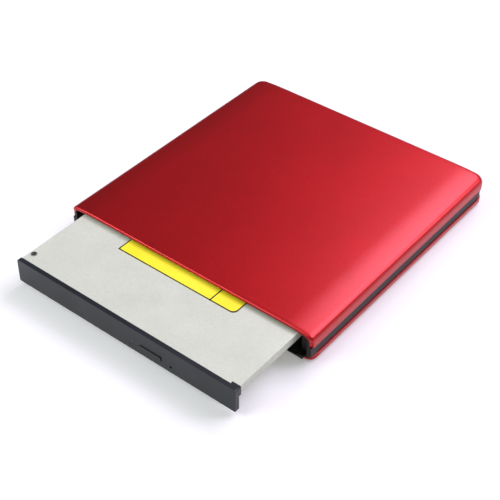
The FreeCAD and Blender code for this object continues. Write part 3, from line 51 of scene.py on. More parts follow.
QUARTER_TURN = math.pi / 2
# an edge that bends by more than this is sharp
SHARP = math.radians(38)
SLOTS = {part["node"]: part["material_slot"] for part in frame["record"]["subparts"]}


# ---- finishes ----

def paint(code):
    """An sRGB hex value as the linear colour that the shaders use, by the sRGB standard's curve."""
    parts = [int(code[i:i + 2], 16) / 255 for i in (1, 3, 5)]
    return tuple(c / 12.92 if c <= 0.04045 else ((c + 0.055) / 1.055) ** 2.4 for c in parts) + (1.0,)


def per_mm(size):
    """The scale that makes one turn of a pattern this many millimetres."""
    return 1.0 / (size * MM)


def add(finish, kind, sockets=None, **settings):
    """Add one node to a finish, with its settings, and its sockets set or linked."""
    node = finish.node_tree.nodes.new(kind)
    for name, setting in settings.items():
        setattr(node, name, setting)
    for name, what in (sockets or {}).items():
        if isinstance(what, bpy.types.NodeSocket):
            finish.node_tree.links.new(what, node.inputs[name])
        else:
            node.inputs[name].default_value = what
    return node


def new_finish(name):
    """An empty finish with its surface shader, and the place on the piece in metres."""
    finish = bpy.data.materials.new(name)
    finish.use_nodes = True
    finish.node_tree.nodes.clear()
    surface = add(finish, "ShaderNodeBsdfPrincipled")
    out = add(finish, "ShaderNodeOutputMaterial")
    finish.node_tree.links.new(surface.outputs["BSDF"], out.inputs["Surface"])
    spot = add(finish, "ShaderNodeTexCoord").outputs["Object"]
    return finish, surface, spot


def dress(finish, surface, **sockets):
    """Set or link the surface shader's own sockets; an underline in a name stands for a space."""
    for name, what in sockets.items():
        socket = surface.inputs[name.replace("_", " ")]
        if isinstance(what, bpy.types.NodeSocket):
            finish.node_tree.links.new(what, socket)
        else:
            socket.default_value = what


def shades(finish, value, *steps):
    """A ramp from (place, hex colour) steps."""
    ramp = add(finish, "ShaderNodeValToRGB", {"Fac": value})
    marks = ramp.color_ramp.elements
    while len(marks) < len(steps):
        marks.new(0.5)
    for mark, (at, code) in zip(marks, steps):
        mark.position = at
        mark.color = paint(code)
    return ramp.outputs["Color"]


def pearl_lacquer(name, bare_inside=None):
    """Red mica base coat under clear lacquer, sprayed: deep crimson that glows pink towards the light."""
    finish, surface, spot = new_finish(name)
    # mica flake is about 0.05 mm across; it is drawn at 0.5 mm so that it shows
    flake = add(finish, "ShaderNodeTexVoronoi", {"Vector": spot, "Scale": per_mm(0.5)})
    # the coat's thickness drifts over about 30 mm
    drift = add(finish, "ShaderNodeTexNoise", {"Vector": spot, "Scale": per_mm(30), "Detail": 3.0})
    mica = shades(finish, flake.outputs["Color"], (0.0, "#A80A10"), (0.6, "#B80D13"), (1.0, "#CB141B"))
    depth = shades(finish, drift.outputs["Fac"], (0.3, "#AE0B11"), (0.7, "#BE0F15"))
    mixed = add(finish, "ShaderNodeMixRGB", {"Fac": 0.5, "Color1": mica, "Color2": depth}).outputs["Color"]
    # orange peel of the lacquer, about 1.6 mm from crest to crest
    peel = add(finish, "ShaderNodeTexNoise", {"Vector": spot, "Scale": per_mm(1.6), "Detail": 2.0})
    rough = add(finish, "ShaderNodeMapRange", {
        "Value": flake.outputs["Distance"], "To Min": 0.42, "To Max": 0.52}).outputs["Result"]
    bump = add(finish, "ShaderNodeBump", {
        "Height": peel.outputs["Fac"], "Strength": 0.12, "Distance": 0.05 * MM})
    metal = 0.88
    if bare_inside:
        # the paint stops at the rim: the inside is bare black moulding
        half, floor = bare_inside
        place = add(finish, "ShaderNodeSeparateXYZ", {"Vector": spot}).outputs
        across = add(finish, "ShaderNodeMath", {0: place["X"]}, operation="ABSOLUTE").outputs[0]
        within = add(finish, "ShaderNodeMath", {0: across, 1: half}, operation="LESS_THAN").outputs[0]
        above = add(finish, "ShaderNodeMath", {0: place["Z"], 1: floor}, operation="GREATER_THAN").outputs[0]
        bare = add(finish, "ShaderNodeMath", {0: within, 1: above}, operation="MULTIPLY").outputs[0]
        mixed = add(finish, "ShaderNodeMixRGB", {
            "Fac": bare, "Color1": mixed, "Color2": paint("#121213")}).outputs["Color"]
        metal = add(finish, "ShaderNodeMapRange", {
            "Value": bare, "To Min": metal, "To Max": 0.0}).outputs["Result"]
    dress(finish, surface, Base_Color=mixed, Metallic=metal, Roughness=rough, Normal=bump.outputs["Normal"],
          Coat_Weight=0.5, Coat_Roughness=0.24, IOR=1.5)
    return finish


def moulded_plastic(name, dark, light, roughness, grain_mm, depth_mm, shine=0.5):
    """Moulded plastic from a spark-eroded tool: even colour, fine matt grain, slightly uneven gloss."""
    finish, surface, spot = new_finish(name)
    grain = add(finish, "ShaderNodeTexNoise", {"Vector": spot, "Scale": per_mm(grain_mm), "Detail": 4.0})
    uneven = 0.06
    # the melt's flow shows over about 18 mm
    flow = add(finish, "ShaderNodeTexNoise", {"Vector": spot, "Scale": per_mm(18), "Detail": 2.0})
    colour = shades(finish, flow.outputs["Fac"], (0.3, dark), (0.7, light))
    rough = add(finish, "ShaderNodeMapRange", {
        "Value": grain.outputs["Fac"], "To Min": roughness - uneven, "To Max": roughness + uneven})
    bump = add(finish, "ShaderNodeBump", {
        "Height": grain.outputs["Fac"], "Strength": 0.35, "Distance": depth_mm * MM})
    dress(finish, surface, Base_Color=colour, Roughness=rough.outputs["Result"],
          Normal=bump.outputs["Normal"], IOR=1.53, Specular_IOR_Level=shine)
    return finish


def rolled_metal(name, dark, light, roughness, run_mm, across_mm, depth_mm):
    """Rolled or ground metal: fine lines along one way, brightness that varies from line to line."""
    finish, surface, spot = new_finish(name)
    uneven = 0.07
    stretched = add(finish, "ShaderNodeMapping", {
        "Vector": spot, "Scale": (per_mm(across_mm), per_mm(run_mm), per_mm(across_mm))}).outputs["Vector"]
    lines = add(finish, "ShaderNodeTexNoise", {"Vector": stretched, "Scale": 1.0, "Detail": 5.0})
    colour = shades(finish, lines.outputs["Fac"], (0.3, dark), (0.7, light))
    rough = add(finish, "ShaderNodeMapRange", {
        "Value": lines.outputs["Fac"], "To Min": roughness - uneven, "To Max": roughness + uneven})
    bump = add(finish, "ShaderNodeBump", {
        "Height": lines.outputs["Fac"], "Strength": 0.25, "Distance": depth_mm * MM})
    dress(finish, surface, Base_Color=colour, Metallic=1.0, Roughness=rough.outputs["Result"],
          Normal=bump.outputs["Normal"])
    return finish


def galvanised_lid():
    """Zinc-plated sheet steel, dull-rolled and passivated: light warm grey with a fine crystalline grain."""
    finish, surface, spot = new_finish("zinc_plated_sheet")
    # zinc grain is about 0.2 mm; it is drawn at 0.5 mm so that it shows
    crystal = add(finish, "ShaderNodeTexVoronoi", {"Vector": spot, "Scale": per_mm(0.5)})
    # handling and passivation leave clouds about 14 mm across
    stain = add(finish, "ShaderNodeTexNoise", {"Vector": spot, "Scale": per_mm(14), "Detail": 4.0})
    speck = shades(finish, crystal.outputs["Color"], (0.0, "#BFC3B3"), (0.5, "#CACEBE"), (1.0, "#D5D9C8"))
    cloud = shades(finish, stain.outputs["Fac"], (0.3, "#C4C8B8"), (0.7, "#D0D4C4"))
    mixed = add(finish, "ShaderNodeMixRGB", {"Fac": 0.5, "Color1": speck, "Color2": cloud}).outputs["Color"]
    rough = add(finish, "ShaderNodeMapRange", {"Value": stain.outputs["Fac"], "To Min": 0.44, "To Max": 0.56})
    bump = add(finish, "ShaderNodeBump", {
        "Height": crystal.outputs["Distance"], "Strength": 0.2, "Distance": 0.02 * MM})
    # the passivated skin scatters most of the light, so little of it shines as bare metal does
    dress(finish, surface, Base_Color=mixed, Metallic=0.1, Roughness=rough.outputs["Result"],
          Normal=bump.outputs["Normal"], Specular_IOR_Level=0.25)
    return finish


def clear_plastic():
    """Clear moulded acrylic for lamps and the lens: colourless, glossy, faintly cloudy."""
    finish, surface, spot = new_finish("clear_acrylic")
    cloud = add(finish, "ShaderNodeTexNoise", {"Vector": spot, "Scale": per_mm(2.0)})
    colour = shades(finish, cloud.outputs["Fac"], (0.3, "#C9D2D6"), (0.7, "#E6ECEE"))
    dress(finish, surface, Base_Color=colour, Roughness=0.12, IOR=1.49, Transmission_Weight=0.55)
    return finish


def smoked_plastic():
    """Smoked polycarbonate for the light in the bezel: nearly as dark as the moulding round it."""
    finish, surface, spot = new_finish("smoked_polycarbonate")
    cloud = add(finish, "ShaderNodeTexNoise", {"Vector": spot, "Scale": per_mm(1.5)})
    colour = shades(finish, cloud.outputs["Fac"], (0.3, "#24272B"), (0.7, "#30343A"))
    dress(finish, surface, Base_Color=colour, Roughness=0.2, IOR=1.58)
    return finish


def board_laminate():
    """Glass-epoxy board under green solder mask: glossy green with the copper tracks just showing."""
    finish, surface, spot = new_finish("solder_masked_board")
    # groups of tracks cross the board about 4 mm apart
    tracks = add(finish, "ShaderNodeTexBrick", {
        "Vector": spot, "Scale": per_mm(4.0), "Color1": paint("#0D4A2A"), "Color2": paint("#12552F"),
        "Mortar": paint("#1F7A48"), "Mortar Size": 0.04})
    weave = add(finish, "ShaderNodeTexNoise", {"Vector": spot, "Scale": per_mm(0.6)})
    rough = add(finish, "ShaderNodeMapRange", {"Value": weave.outputs["Fac"], "To Min": 0.25, "To Max": 0.4})
    dress(finish, surface, Base_Color=tracks.outputs["Color"], Roughness=rough.outputs["Result"], IOR=1.55)
    return finish


FINISHES = {
    "pearl_red_paint": pearl_lacquer("pearl_red_lacquer"),
    # warm black with a dull shine, for the case's band, its inside and the tray
    "black_abs": moulded_plastic("black_moulded_abs", "#191614", "#211D1A", 0.46, 0.35, 0.02, 0.25),
    # blue-grey charcoal, smoother than the case, for the front plate and its button
    "bezel_abs": moulded_plastic("charcoal_moulded_abs", "#1B1D21", "#25282D", 0.34, 0.3, 0.015, 0.35),
    "plated_steel": galvanised_lid(),
    # clean yellow, smooth and half glossy
    "label_film": moulded_plastic("yellow_polyester_film", "#F4E52A", "#F9ED36", 0.38, 0.8, 0.01),
    # soot black and quite dull
    "soft_rubber": moulded_plastic("black_silicone_rubber", "#141414", "#1D1D1D", 0.72, 0.5, 0.03),
    "circuit_board": board_laminate(),
    # black with a stony dullness
    "chip_epoxy": moulded_plastic("black_moulded_epoxy", "#151515", "#202020", 0.6, 0.25, 0.02),
    # black with a slight waxy shine
    "connector_resin": moulded_plastic("black_moulded_nylon", "#121214", "#1C1C1E", 0.48, 0.3, 0.015),
    # pale silver, drawn in long soft lines
    "tin_shell": rolled_metal("tin_plated_brass", "#BDBDB8", "#D6D6D0", 0.3, 4.0, 0.3, 0.01),
    # slightly yellow silver with short lines
    "screw_steel": rolled_metal("nickel_plated_steel", "#A9A7A1", "#C9C7C1", 0.26, 0.8, 0.3, 0.01),
    # cold bright silver, the glossiest of the metals
    "ground_steel": rolled_metal("ground_stainless_steel", "#B2B3B5", "#D3D4D6", 0.18, 0.5, 0.2, 0.008),
    # greyer silver with lines along the draw
    "motor_steel": rolled_metal("drawn_plated_steel", "#9EA0A2", "#BEC0C2", 0.3, 2.0, 0.3, 0.01),
    # orange-brown, ribbed as wound wire is
    "copper_coils": rolled_metal("enamelled_copper_wire", "#A4572C", "#C77842", 0.3, 3.0, 0.25, 0.06),
    # dull gold with fine turning lines
    "bearing_brass": rolled_metal("turned_sintered_brass", "#A98A44", "#C9A95E", 0.35, 0.4, 0.2, 0.01),
    # black, smooth and slippery to the eye
    "hub_resin": moulded_plastic("black_moulded_acetal", "#1A1A1B", "#262627", 0.36, 0.3, 0.01),
    # mid grey with the uneven skin of a casting
    "sled_casting": rolled_metal("die_cast_zinc", "#8F9294", "#ABAEB0", 0.45, 1.2, 1.0, 0.03),
    "clear_lens": clear_plastic(),
    # clear amber-brown, glossy
    "flex_film": moulded_plastic("amber_polyimide_film", "#8A4A12", "#A45C1B", 0.3, 1.0, 0.01),
}
SMOKED = smoked_plastic()
# dull olive-black lines
INK = moulded_plastic("olive_black_screen_ink", "#2C2A12", "#3A3718", 0.5, 0.6, 0.005)
# the lower shell's room: half its width, and the top of its floor
LOWER_ROOM = (69.75 * MM, 1.9 * MM)
LOWER_PAINT = pearl_lacquer("pearl_red_lacquer_outside_only", LOWER_ROOM)
# nearly black: painted shade for the depth of a punched cross recess
RECESS_SHADE = moulded_plastic("struck_steel_painted_recess_shade", "#1D1C1B", "#2A2927", 0.6, 0.3, 0.01)
# clear yellow gold, smooth from the strip mill
CONTACT_GOLD = rolled_metal("gold_plated_bronze", "#B9923E", "#DCB75C", 0.26, 2.0, 0.2, 0.005)
OWN_FINISH = {"activity_lamp": SMOKED, "bottom_shell": LOWER_PAINT}


# ---- making and dressing pieces ----

# how far each piece's sharp edges are broken, in millimetres
EDGE_BREAK = {
    "bottom_shell": 0.3, "middle_frame": 0.2, "bezel": 0.22, "eject_button": 0.15,
    "top_cover": 0.25, "chassis_pan": 0.12, "tray_frame": 0.12, "usb_socket": 0.08, "power_socket": 0.12,
}
BREAK_STEPS = 3


def break_edges(piece, width):
    """Round the sharp edges of a piece by a width in millimetres."""
    edge = piece.modifiers.new("broken_edges", "BEVEL")
    edge.width = width * MM
    edge.segments = BREAK_STEPS
    edge.limit_method = "ANGLE"
    edge.angle_limit = SHARP
    edge.harden_normals = True


def finish_nodes():
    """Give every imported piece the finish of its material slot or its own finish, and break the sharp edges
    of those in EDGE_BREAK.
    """
    for name, piece in frame["nodes"].items():
        piece.data.materials.clear()
        piece.data.materials.append(OWN_FINISH.get(name, FINISHES[SLOTS[name]]))
        if name in EDGE_BREAK:
            break_edges(piece, EDGE_BREAK[name])


def new_mesh(name, points, faces, finishes, body, slot=None, second=()):
    """Make a piece that rides on a body; the faces in second take the second finish."""
    data = bpy.data.meshes.new(name)
    data.from_pydata([tuple(p) for p in points], [], faces)
    for number in second:
        data.polygons[number].material_index = 1
    mesh = bmesh.new()
    mesh.from_mesh(data)
    bmesh.ops.remove_doubles(mesh, verts=mesh.verts, dist=0.001 * MM)
    bmesh.ops.recalc_face_normals(mesh, faces=mesh.faces)
    mesh.to_mesh(data)
    mesh.free()
    for finish in finishes:
        data.materials.append(finish)
    piece = bpy.data.objects.new(name, data)
    bpy.context.scene.collection.objects.link(piece)
    data.shade_smooth()
    data.set_sharp_from_angle(angle=SHARP)
    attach(piece, body)
    return piece


def swept(sections):
    """The points and faces of a form that runs through these sections, closed at both ends."""
    count = len(sections[0])
    points = [p for section in sections for p in section]
    faces = [(row * count + k, row * count + (k + 1) % count,
              (row + 1) * count + (k + 1) % count, (row + 1) * count + k)
             for row in range(len(sections) - 1) for k in range(count)]
    return points, faces + [tuple(range(count)), tuple(range(len(points) - count, len(points)))]


def joined(forms):
    """Several forms' points and faces as one list each."""
    points, faces = [], []
    for more, around in forms:
        base = len(points)
        points += more
        faces += [tuple(base + k for k in face) for face in around]
    return points, faces


def packed_mesh(node):
    """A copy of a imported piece's mesh, welded, in the part's own frame."""
    mesh = bmesh.new()
    mesh.from_mesh(frame["nodes"][node].data)
    mesh.transform(frame["nodes"][node].matrix_world)
    bmesh.ops.remove_doubles(mesh, verts=mesh.verts, dist=0.001 * MM)
    return mesh


def loose_parts(node):
    """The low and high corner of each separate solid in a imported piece."""
    mesh = packed_mesh(node)
    left, spans = set(mesh.verts), []
    while left:
        queue, group = [left.pop()], []
        while queue:
            spot = queue.pop()
            group.append(spot.co.copy())
            for edge in spot.link_edges:
                other = edge.other_vert(spot)
                if other in left:
                    left.remove(other)
                    queue.append(other)
        spans.append([Vector([pick(p[k] for p in group) for k in range(3)]) for pick in (min, max)])
    mesh.free()
    return sorted(spans, key=lambda span: tuple(round(c / MM, 3) for c in span[0]))


# ---- the painted upper shell ----

SHELL_LOW, SHELL_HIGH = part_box("top_shell")
HALF, FRONT, BACK, RIM, TOP = SHELL_HIGH.x, SHELL_LOW.y, SHELL_HIGH.y, SHELL_LOW.z, SHELL_HIGH.z
# as in the part: crowned over CROWN towards both sides, with a rounded edge on three sides
CROWN, CROWN_DROP, EDGE, CORNER, MOUTH_CORNER = 12.3 * MM, 0.6 * MM, 3.4 * MM, 5.5 * MM, 0.8 * MM
ROOF, WALL, FILLET, LIP = 1.6 * MM, 1.8 * MM, 3.0 * MM, 1.0 * MM
# the flat of the top lies this far inside the crown, with corners of this radius
FLAT_MARGIN, FLAT_CORNER = 0.5 * MM, 2.5 * MM
SHELL_BREAK = 0.45
# how many steps each run of the surface is drawn in, and how the steps along the sides spread out backwards
LIP_STEPS, SIDE_STEPS, CORNER_STEPS, BACK_STEPS, EDGE_STEPS, CROWN_STEPS = 6, 34, 10, 12, 10, 10
SPREAD = 1.4


def quarter(radius, depth):
    """How far a rounded edge of this radius falls back at a depth from its outside."""
    left = max(radius - depth, 0.0)
    return radius - math.sqrt(max(radius * radius - left * left, 0.0))


def crown(x, edge):
    """How far the crown has fallen at x, where its end lies at edge from the middle."""
    fall = min(max(abs(x) - (edge - CROWN), 0.0) / CROWN, 1.0)
    return CROWN_DROP * fall * fall


def mouth(x, y):
    """Draw the front corners back in plan."""
    near = max(0.0, 1.0 - (y - FRONT) / (3 * MOUTH_CORNER))
    return y + quarter(MOUTH_CORNER, HALF - abs(x)) * near * near


def shell_plan(inset, radius):
    """The shell from above, from the mouth on the left, round the back, to the mouth on the right."""
    wide, rear = HALF - inset, BACK - inset
    left = [(-wide, FRONT + LIP * (1 - math.cos(QUARTER_TURN * step / LIP_STEPS)))
            for step in range(LIP_STEPS)]
    for step in range(SIDE_STEPS):
        along = (step / (SIDE_STEPS - 1)) ** SPREAD
        left.append((-wide, FRONT + LIP + along * (rear - radius - FRONT - LIP)))
    for step in range(1, CORNER_STEPS):
        angle = QUARTER_TURN * step / CORNER_STEPS
        left.append((-wide + radius - radius * math.cos(angle), rear - radius + radius * math.sin(angle)))
    left += [(-wide + radius + (wide - radius) * step / BACK_STEPS, rear) for step in range(BACK_STEPS + 1)]
    return left + [(-x, y) for x, y in reversed(left[:-1])]


def lipped(x, y, z, tilt):
    """Roll the front lip in along the way the surface faces, which leans up by tilt."""
    fall = quarter(LIP, y - FRONT)
    return (x - math.copysign(fall * math.cos(tilt), x), mouth(x, y), z - fall * math.sin(tilt))


def shell_outside():
    """Rows of points, from the walls' rim up over the edge and the crown to the flat of the top."""
    rows = [[lipped(x, y, RIM, 0.0) for x, y in shell_plan(0.0, CORNER)]]
    for step in range(EDGE_STEPS + 1):
        angle = QUARTER_TURN * step / EDGE_STEPS
        inset, fall = EDGE * (1 - math.cos(angle)), EDGE * (1 - math.sin(angle))
        rows.append([lipped(x, y, TOP - crown(x, HALF - EDGE) - fall, angle)
                     for x, y in shell_plan(inset, CORNER - inset)])
    start, flat = shell_plan(EDGE, CORNER - EDGE), shell_plan(CROWN + EDGE + FLAT_MARGIN, FLAT_CORNER)
    for step in range(1, CROWN_STEPS + 1):
        part = step / CROWN_STEPS
        spots = [(ax + (bx - ax) * part, ay + (by - ay) * part) for (ax, ay), (bx, by) in zip(start, flat)]
        rows.append([lipped(x, y, TOP - crown(x, HALF - EDGE), QUARTER_TURN) for x, y in spots])
    return rows


def shell_room():
    """The room inside as one section, from the left rim over the roof to the right rim."""
    inside = HALF - WALL
    section = [(inside, RIM)]
    for step in range(EDGE_STEPS + 1):
        angle = QUARTER_TURN * step / EDGE_STEPS
        section.append((inside - FILLET * (1 - math.cos(angle)),
                        TOP - ROOF - CROWN_DROP - FILLET * (1 - math.sin(angle))))
    for step in range(1, CROWN_STEPS + 1):
        x = inside - FILLET - CROWN * step / CROWN_STEPS
        section.append((x, TOP - ROOF - crown(x, inside - FILLET)))
    return [(-x, z) for x, z in section] + section[::-1]


def painted_top_shell():
    """Sprayed upper shell: crowned top, tight edge, rounded corners, and bare black moulding inside."""
    rows, section = shell_outside(), shell_room()
    count, tall, ends = len(rows[0]), len(rows), len(section)
    points = [p for row in rows for p in row]
    near = len(points)
    far = near + ends
    points += [(x, mouth(x, FRONT), z) for x, z in section]
    points += [(x, BACK - WALL, z) for x, z in section]
    faces = []
    for row in range(tall - 1):
        for step in range(count - 1):
            a = row * count + step
            faces.append((a, a + 1, a + count + 1, a + count))
    last = (tall - 1) * count
    faces += [(last + k, last + k + 1, last + count - 2 - k, last + count - 1 - k) for k in range(LIP_STEPS)]
    faces.append(tuple(last + step for step in range(LIP_STEPS, count - LIP_STEPS)))
    # the red end faces round the mouth, and the rim below
    left_rim = [row * count for row in range(tall)]
    rim = left_rim + [a + count - 1 for a in reversed(left_rim)]
    faces += [(rim[k], rim[k + 1], near + k + 1, near + k) for k in range(ends - 1)]
    faces.append(tuple(range(count)) + (near + ends - 1, far + ends - 1, far, near))
    painted = len(faces)
    faces += [(near + k, near + k + 1, far + k + 1, far + k) for k in range(ends - 1)]
    faces.append(tuple(far + k for k in range(ends)))
    shell = new_mesh("painted_top_shell", points, faces, [FINISHES["pearl_red_paint"], FINISHES["black_abs"]],
                     "case", "pearl_red_paint", second=range(painted, len(faces)))
    break_edges(shell, SHELL_BREAK)
    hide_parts("top_shell")


# ---- the label ----

def blank_yellow_label():
    """Yellow film with no print but its dark frame lines and divider: sharp at left, rounded at right."""
    low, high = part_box("blank_label")
    sharp, round_corner, corner_steps = 0.5 * MM, 2.6 * MM, 8
    line, divider = 0.7 * MM, 21.1 * MM
    # the film lies just off the lid, and the ink just proud of the film
    film_foot, film_face, ink_face = low.z + 0.005 * MM, high.z - 0.02 * MM, high.z - 0.015 * MM
    outline = []
    for corner_x, corner_y, radius, start in (
            (high.x, low.y, round_corner, 270), (high.x, high.y, sharp, 0),
            (low.x, high.y, sharp, 90), (low.x, low.y, sharp, 180)):
        cx = corner_x - math.copysign(radius, corner_x)
        cy = corner_y + radius if corner_y == low.y else corner_y - radius
        for step in range(corner_steps + 1):
            angle = math.radians(start + 90 * step / corner_steps)
            outline.append((cx + radius * math.cos(angle), cy + radius * math.sin(angle)))
    count = len(outline)
    points = [(x, y, film_foot) for x, y in outline] + [(x, y, film_face) for x, y in outline]
    band = [(i, (i + 1) % count, count + (i + 1) % count, count + i) for i in range(count)]
    faces = [tuple(reversed(range(count))), tuple(range(count, 2 * count))] + band
    film = new_mesh("yellow_label_film", points, faces, [FINISHES["label_film"]], "drive", "label_film")
    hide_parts("blank_label")
    # one line just inside the edge, and one across between the two panels
    middle = (low + high) / 2
    inner = [(x - math.copysign(min(line, abs(x - middle.x)), x - middle.x),
              y - math.copysign(min(line, abs(y - middle.y)), y - middle.y)) for x, y in outline]
    lines = [(x, y, ink_face) for x, y in outline] + [(x, y, ink_face) for x, y in inner]
    base = len(lines)
    lines += [(x, y, ink_face) for x, y in (
        (divider - line / 2, low.y), (divider + line / 2, low.y),
        (divider + line / 2, high.y), (divider - line / 2, high.y))]
    new_mesh("label_frame_lines", lines, band + [(base, base + 1, base + 2, base + 3)], [INK], "drive")


# ---- small detail ----

# the cross recesses: name, the screws they are in, body, reach from the middle in millimetres, facing up
SCREW_RECESSES = (
    ("cover_screw_recesses", "cover_screws", "drive", 0.8, True),
    ("case_screw_recesses", "case_screws", "case", 1.1, False),
    ("board_screw_recesses", "board_screws", "case", 0.9, False),
    ("shield_screw_recesses", "shield_screws", "tray", 0.55, False),
    ("damper_screw_recesses", "damper_screws", "tray", 0.55, False),
)
# the chips' leads: millimetres from one lead to the next, and how far they reach out
LEAD_PITCH, LEAD_REACH = 0.8, 0.9


def cross_recesses(name, node, body, reach_mm, upward):
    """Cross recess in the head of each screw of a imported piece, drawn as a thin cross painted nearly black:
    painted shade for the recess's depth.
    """
    # half an arm's width, as a share of its reach
    slimness = 0.28
    reach, half = reach_mm * MM, slimness * reach_mm * MM
    cross = [(reach, -half), (reach, half), (half, half), (half, reach), (-half, reach), (-half, half),
             (-reach, half), (-reach, -half), (-half, -half), (-half, -reach), (half, -reach), (half, -half)]
    proud, deep = 0.015 * MM, 0.1 * MM
    forms = []
    for low, high in loose_parts(node):
        middle = (low + high) / 2
        levels = (high.z - deep, high.z + proud) if upward else (low.z - proud, low.z + deep)
        forms.append(swept([[(middle.x + x, middle.y + y, z) for x, y in cross] for z in levels]))
    new_mesh(name, *joined(forms), [RECESS_SHADE], body)


def formed_leads(name, node, body):
    """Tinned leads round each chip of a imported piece, bent down to their pads."""
    pitch, reach = LEAD_PITCH * MM, LEAD_REACH * MM
    half, thick, root, bare_corners = 0.17 * MM, 0.14 * MM, 0.05 * MM, 1.2 * MM
    forms = []
    for low, high in loose_parts(node):
        middle, size = (low + high) / 2, high - low
        knee = size.z / 2
        # a lead's outline: out from the chip's side, up from the board
        bend = [(-root, knee), (0.35 * reach, knee), (0.62 * reach, thick), (reach, thick), (reach, 0.0),
                (0.52 * reach, 0.0), (0.25 * reach, knee - thick), (-root, knee - thick)]
        for side in (-1, 1):
            for along_x in (True, False):
                span, edge = (size.x, size.y / 2) if along_x else (size.y, size.x / 2)
                count = int((span - bare_corners) / pitch) + 1
                for k in range(count):
                    at = (k - (count - 1) / 2) * pitch
                    ends = []
                    for shift in (-half, half):
                        ring = [(at + shift, side * (edge + out), up) for out, up in bend]
                        ends.append([(middle.x + (a if along_x else b), middle.y + (b if along_x else a),
                                      low.z + up) for a, b, up in ring])
                    forms.append(swept(ends))
    new_mesh(name, *joined(forms), [FINISHES["tin_shell"]], body)


def lead_screw_thread():
    """Rolled thread of the lead screw, 3 mm to a turn, so it turns with the screw."""
    low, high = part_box("lead_screw")
    middle, radius = (low + high) / 2, (high.z - low.z) / 2
    axis, side = Vector((-1, -1, 0)).normalized(), Vector((1, -1, 0)).normalized()
    lead, length, steps = 3.0 * MM, 36.0 * MM, 20
    # the thread's section: millimetres out from the shaft, and along it
    profile = ((-0.06, -0.30), (0.07, -0.12), (0.07, 0.12), (-0.06, 0.30))
    sections = []
    for step in range(int(length / lead * steps) + 1):
        angle, along = 2 * math.pi * step / steps, lead * step / steps - length / 2
        out = side * math.cos(angle) + Vector((0, 0, math.sin(angle)))
        sections.append([middle + axis * (along + shift * MM) + out * (radius + rise * MM)
                         for rise, shift in profile])
    new_mesh("lead_screw_thread", *swept(sections), [FINISHES["ground_steel"]], "feed_screw")


def small_disc_ring():
    """Low rib on the tray's floor round the seat of an 80 mm disc, broken by the mechanism's window."""
    mesh = packed_mesh("tray_frame")
    tray = BVHTree.FromBMesh(mesh)
    mesh.free()
    low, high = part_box("turntable")
    middle, top = (low + high) / 2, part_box("tray_frame")[1].z
    inner, outer, rise, steps = 40.4 * MM, 41.1 * MM, 0.15 * MM, 240
    slope, sunk, beside, level = 0.15 * MM, 0.05 * MM, 0.5 * MM, 0.05 * MM
    recess = 1.2 * MM
    floor = top - recess

    def on_floor(angle):
        """True where both sides of the rib stand on the tray's floor."""
        for radius in (inner - beside, outer + beside):
            start = (middle.x + radius * math.cos(angle), middle.y + radius * math.sin(angle), top + MM)
            hit = tray.ray_cast(Vector(start), Vector((0, 0, -1)))[0]
            if hit is None or abs(hit.z - floor) > level:
                return False
        return True

    runs, run = [], []
    for step in range(steps + 1):
        angle = 2 * math.pi * step / steps - math.pi
        stands = on_floor(angle)
        if stands:
            run.append([(middle.x + radius * math.cos(angle), middle.y + radius * math.sin(angle), z)
                        for radius, z in ((inner, floor - sunk), (inner + slope, floor + rise),
                                          (outer - slope, floor + rise), (outer, floor - sunk))])
        if run and (not stands or step == steps):
            if len(run) > 2:
                runs.append(swept(run))
            run = []
    new_mesh("small_disc_rib", *joined(runs), [FINISHES[SLOTS["tray_frame"]]], "tray")


def usb_contacts():
    """Five gold-plated contacts along the lower face of the socket's tongue."""
    low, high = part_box("usb_tongue")
    # the tongue's lower face lies this far under the top of the socket
    down = 1.5 * MM
    middle, face = (low.x + high.x) / 2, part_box("usb_socket")[1].z - down
    pitch, half, thick, sunk = 0.8 * MM, 0.2 * MM, 0.06 * MM, 0.02 * MM
    root, tip = 1.5 * MM, 0.3 * MM
    forms = []
    for k in range(-2, 3):
        x = middle + k * pitch
        ends = [[(x - half, y, face - thick), (x + half, y, face - thick), (x + half, y, face + sunk),
                 (x - half, y, face + sunk)] for y in (low.y + root, high.y - tip)]
        forms.append(swept(ends))
    new_mesh("usb_contacts", *joined(forms), [CONTACT_GOLD], "case")


# ---- floor, light and camera ----

def lay_floor():
    """A plain pale floor, far wider than the object: span metres from the middle to each side."""
    span = 3.0
    mesh = bmesh.new()
    corners = [mesh.verts.new((x * span, y * span, 0.0)) for x, y in ((-1, -1), (1, -1), (1, 1), (-1, 1))]
    mesh.faces.new(corners)
    data = bpy.data.meshes.new("studio_floor")
    mesh.to_mesh(data)
    mesh.free()
    floor = bpy.data.objects.new("studio_floor", data)
    bpy.context.scene.collection.objects.link(floor)
    finish, surface, spot = new_finish("white_paper_sweep")
    # the paper's shade drifts over about 60 mm
    fibre = add(finish, "ShaderNodeTexNoise", {"Vector": spot, "Scale": per_mm(60), "Detail": 2.0})
    colour = shades(finish, fibre.outputs["Fac"], (0.3, "#D9D9D9"), (0.7, "#DDDDDD"))
    # lit a little from below, as a light table is, so that shadows stay faint
    dress(finish, surface, Base_Color=colour, Roughness=0.9, Specular_IOR_Level=0.1,
          Emission_Color=paint("#FFFFFF"), Emission_Strength=0.24)
    data.materials.append(finish)


def softbox(name, direction, distance, size, watts, colour):
    """A flat light that faces the part's origin: the way to it, metres off, metres across and up, watts."""
    lamp = bpy.data.lights.new(name, "AREA")
    lamp.shape = "RECTANGLE"
    lamp.size, lamp.size_y = size
    lamp.energy = watts
    lamp.color = paint(colour)[:3]
    box = bpy.data.objects.new(name, lamp)
    way = Vector(direction).normalized()
    box.location = way * distance
    box.rotation_euler = way.to_track_quat("Z", "Y").to_euler()
    bpy.context.scene.collection.objects.link(box)


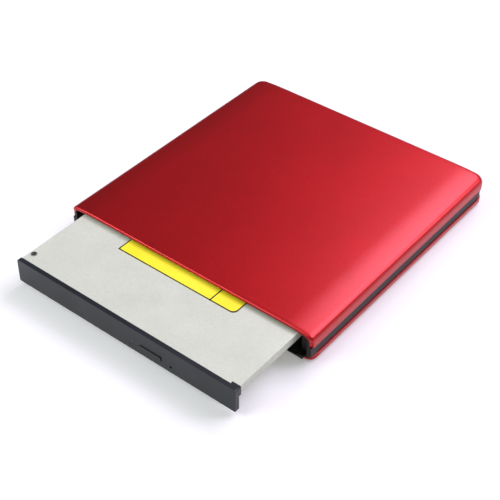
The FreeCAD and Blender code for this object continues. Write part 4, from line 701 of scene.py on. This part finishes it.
def light_studio():
    """Dim surroundings with soft boxes: behind and at the right for the sheen, front left, and above."""
    world = bpy.data.worlds.new("dim_studio")
    world.use_nodes = True
    sky = world.node_tree.nodes["Background"]
    sky.inputs["Color"].default_value = paint("#F4F7FF")
    sky.inputs["Strength"].default_value = 0.12
    bpy.context.scene.world = world
    softbox("back_box", (0.22, 0.58, 0.74), 0.85, (0.95, 0.34), 7.6, "#F0E2FF")
    softbox("right_box", (0.66, 0.62, 0.48), 0.85, (0.36, 0.24), 1.4, "#F2EEFF")
    softbox("front_left_box", (-0.50, -0.66, 0.58), 0.9, (0.6, 0.35), 4.8, "#F6FAFF")
    softbox("overhead_box", (0.05, 0.0, 1.0), 1.1, (1.0, 1.0), 3.6, "#FAFFF4")
    bpy.context.scene.view_settings.view_transform = "Standard"


# where the camera stands, in metres; its turn, its look down and its tilt, in degrees;
# its lens, in millimetres
CAMERA_PLACE = (0.26175, -0.34015, 0.36351)
CAMERA_ANGLES = (37.942, 40.873, 0.788)
FOCAL_LENGTH, SENSOR_WIDTH = 83.285, 36.0


def set_camera():
    """A long lens, above the front right corner."""
    azimuth, elevation, roll = (math.radians(a) for a in CAMERA_ANGLES)
    ahead = Vector((-math.sin(azimuth) * math.cos(elevation), math.cos(azimuth) * math.cos(elevation),
                    -math.sin(elevation)))
    level = Vector((math.cos(azimuth), math.sin(azimuth), 0.0))
    above = level.cross(ahead)
    right = level * math.cos(roll) + above * math.sin(roll)
    up = above * math.cos(roll) - level * math.sin(roll)
    lens = bpy.data.cameras.new("studio_camera")
    lens.lens = FOCAL_LENGTH
    lens.sensor_width = SENSOR_WIDTH
    camera = bpy.data.objects.new("studio_camera", lens)
    camera.matrix_world = Matrix.Translation(CAMERA_PLACE) @ Matrix((right, up, -ahead)).transposed().to_4x4()
    bpy.context.scene.collection.objects.link(camera)
    bpy.context.scene.camera = camera


finish_nodes()
painted_top_shell()
blank_yellow_label()
for recess in SCREW_RECESSES:
    cross_recesses(*recess)
formed_leads("bridge_chip_leads", "bridge_chip", "case")
formed_leads("drive_chip_leads", "drive_chips", "drive")
lead_screw_thread()
small_disc_ring()
usb_contacts()
lay_floor()
light_studio()
set_camera()
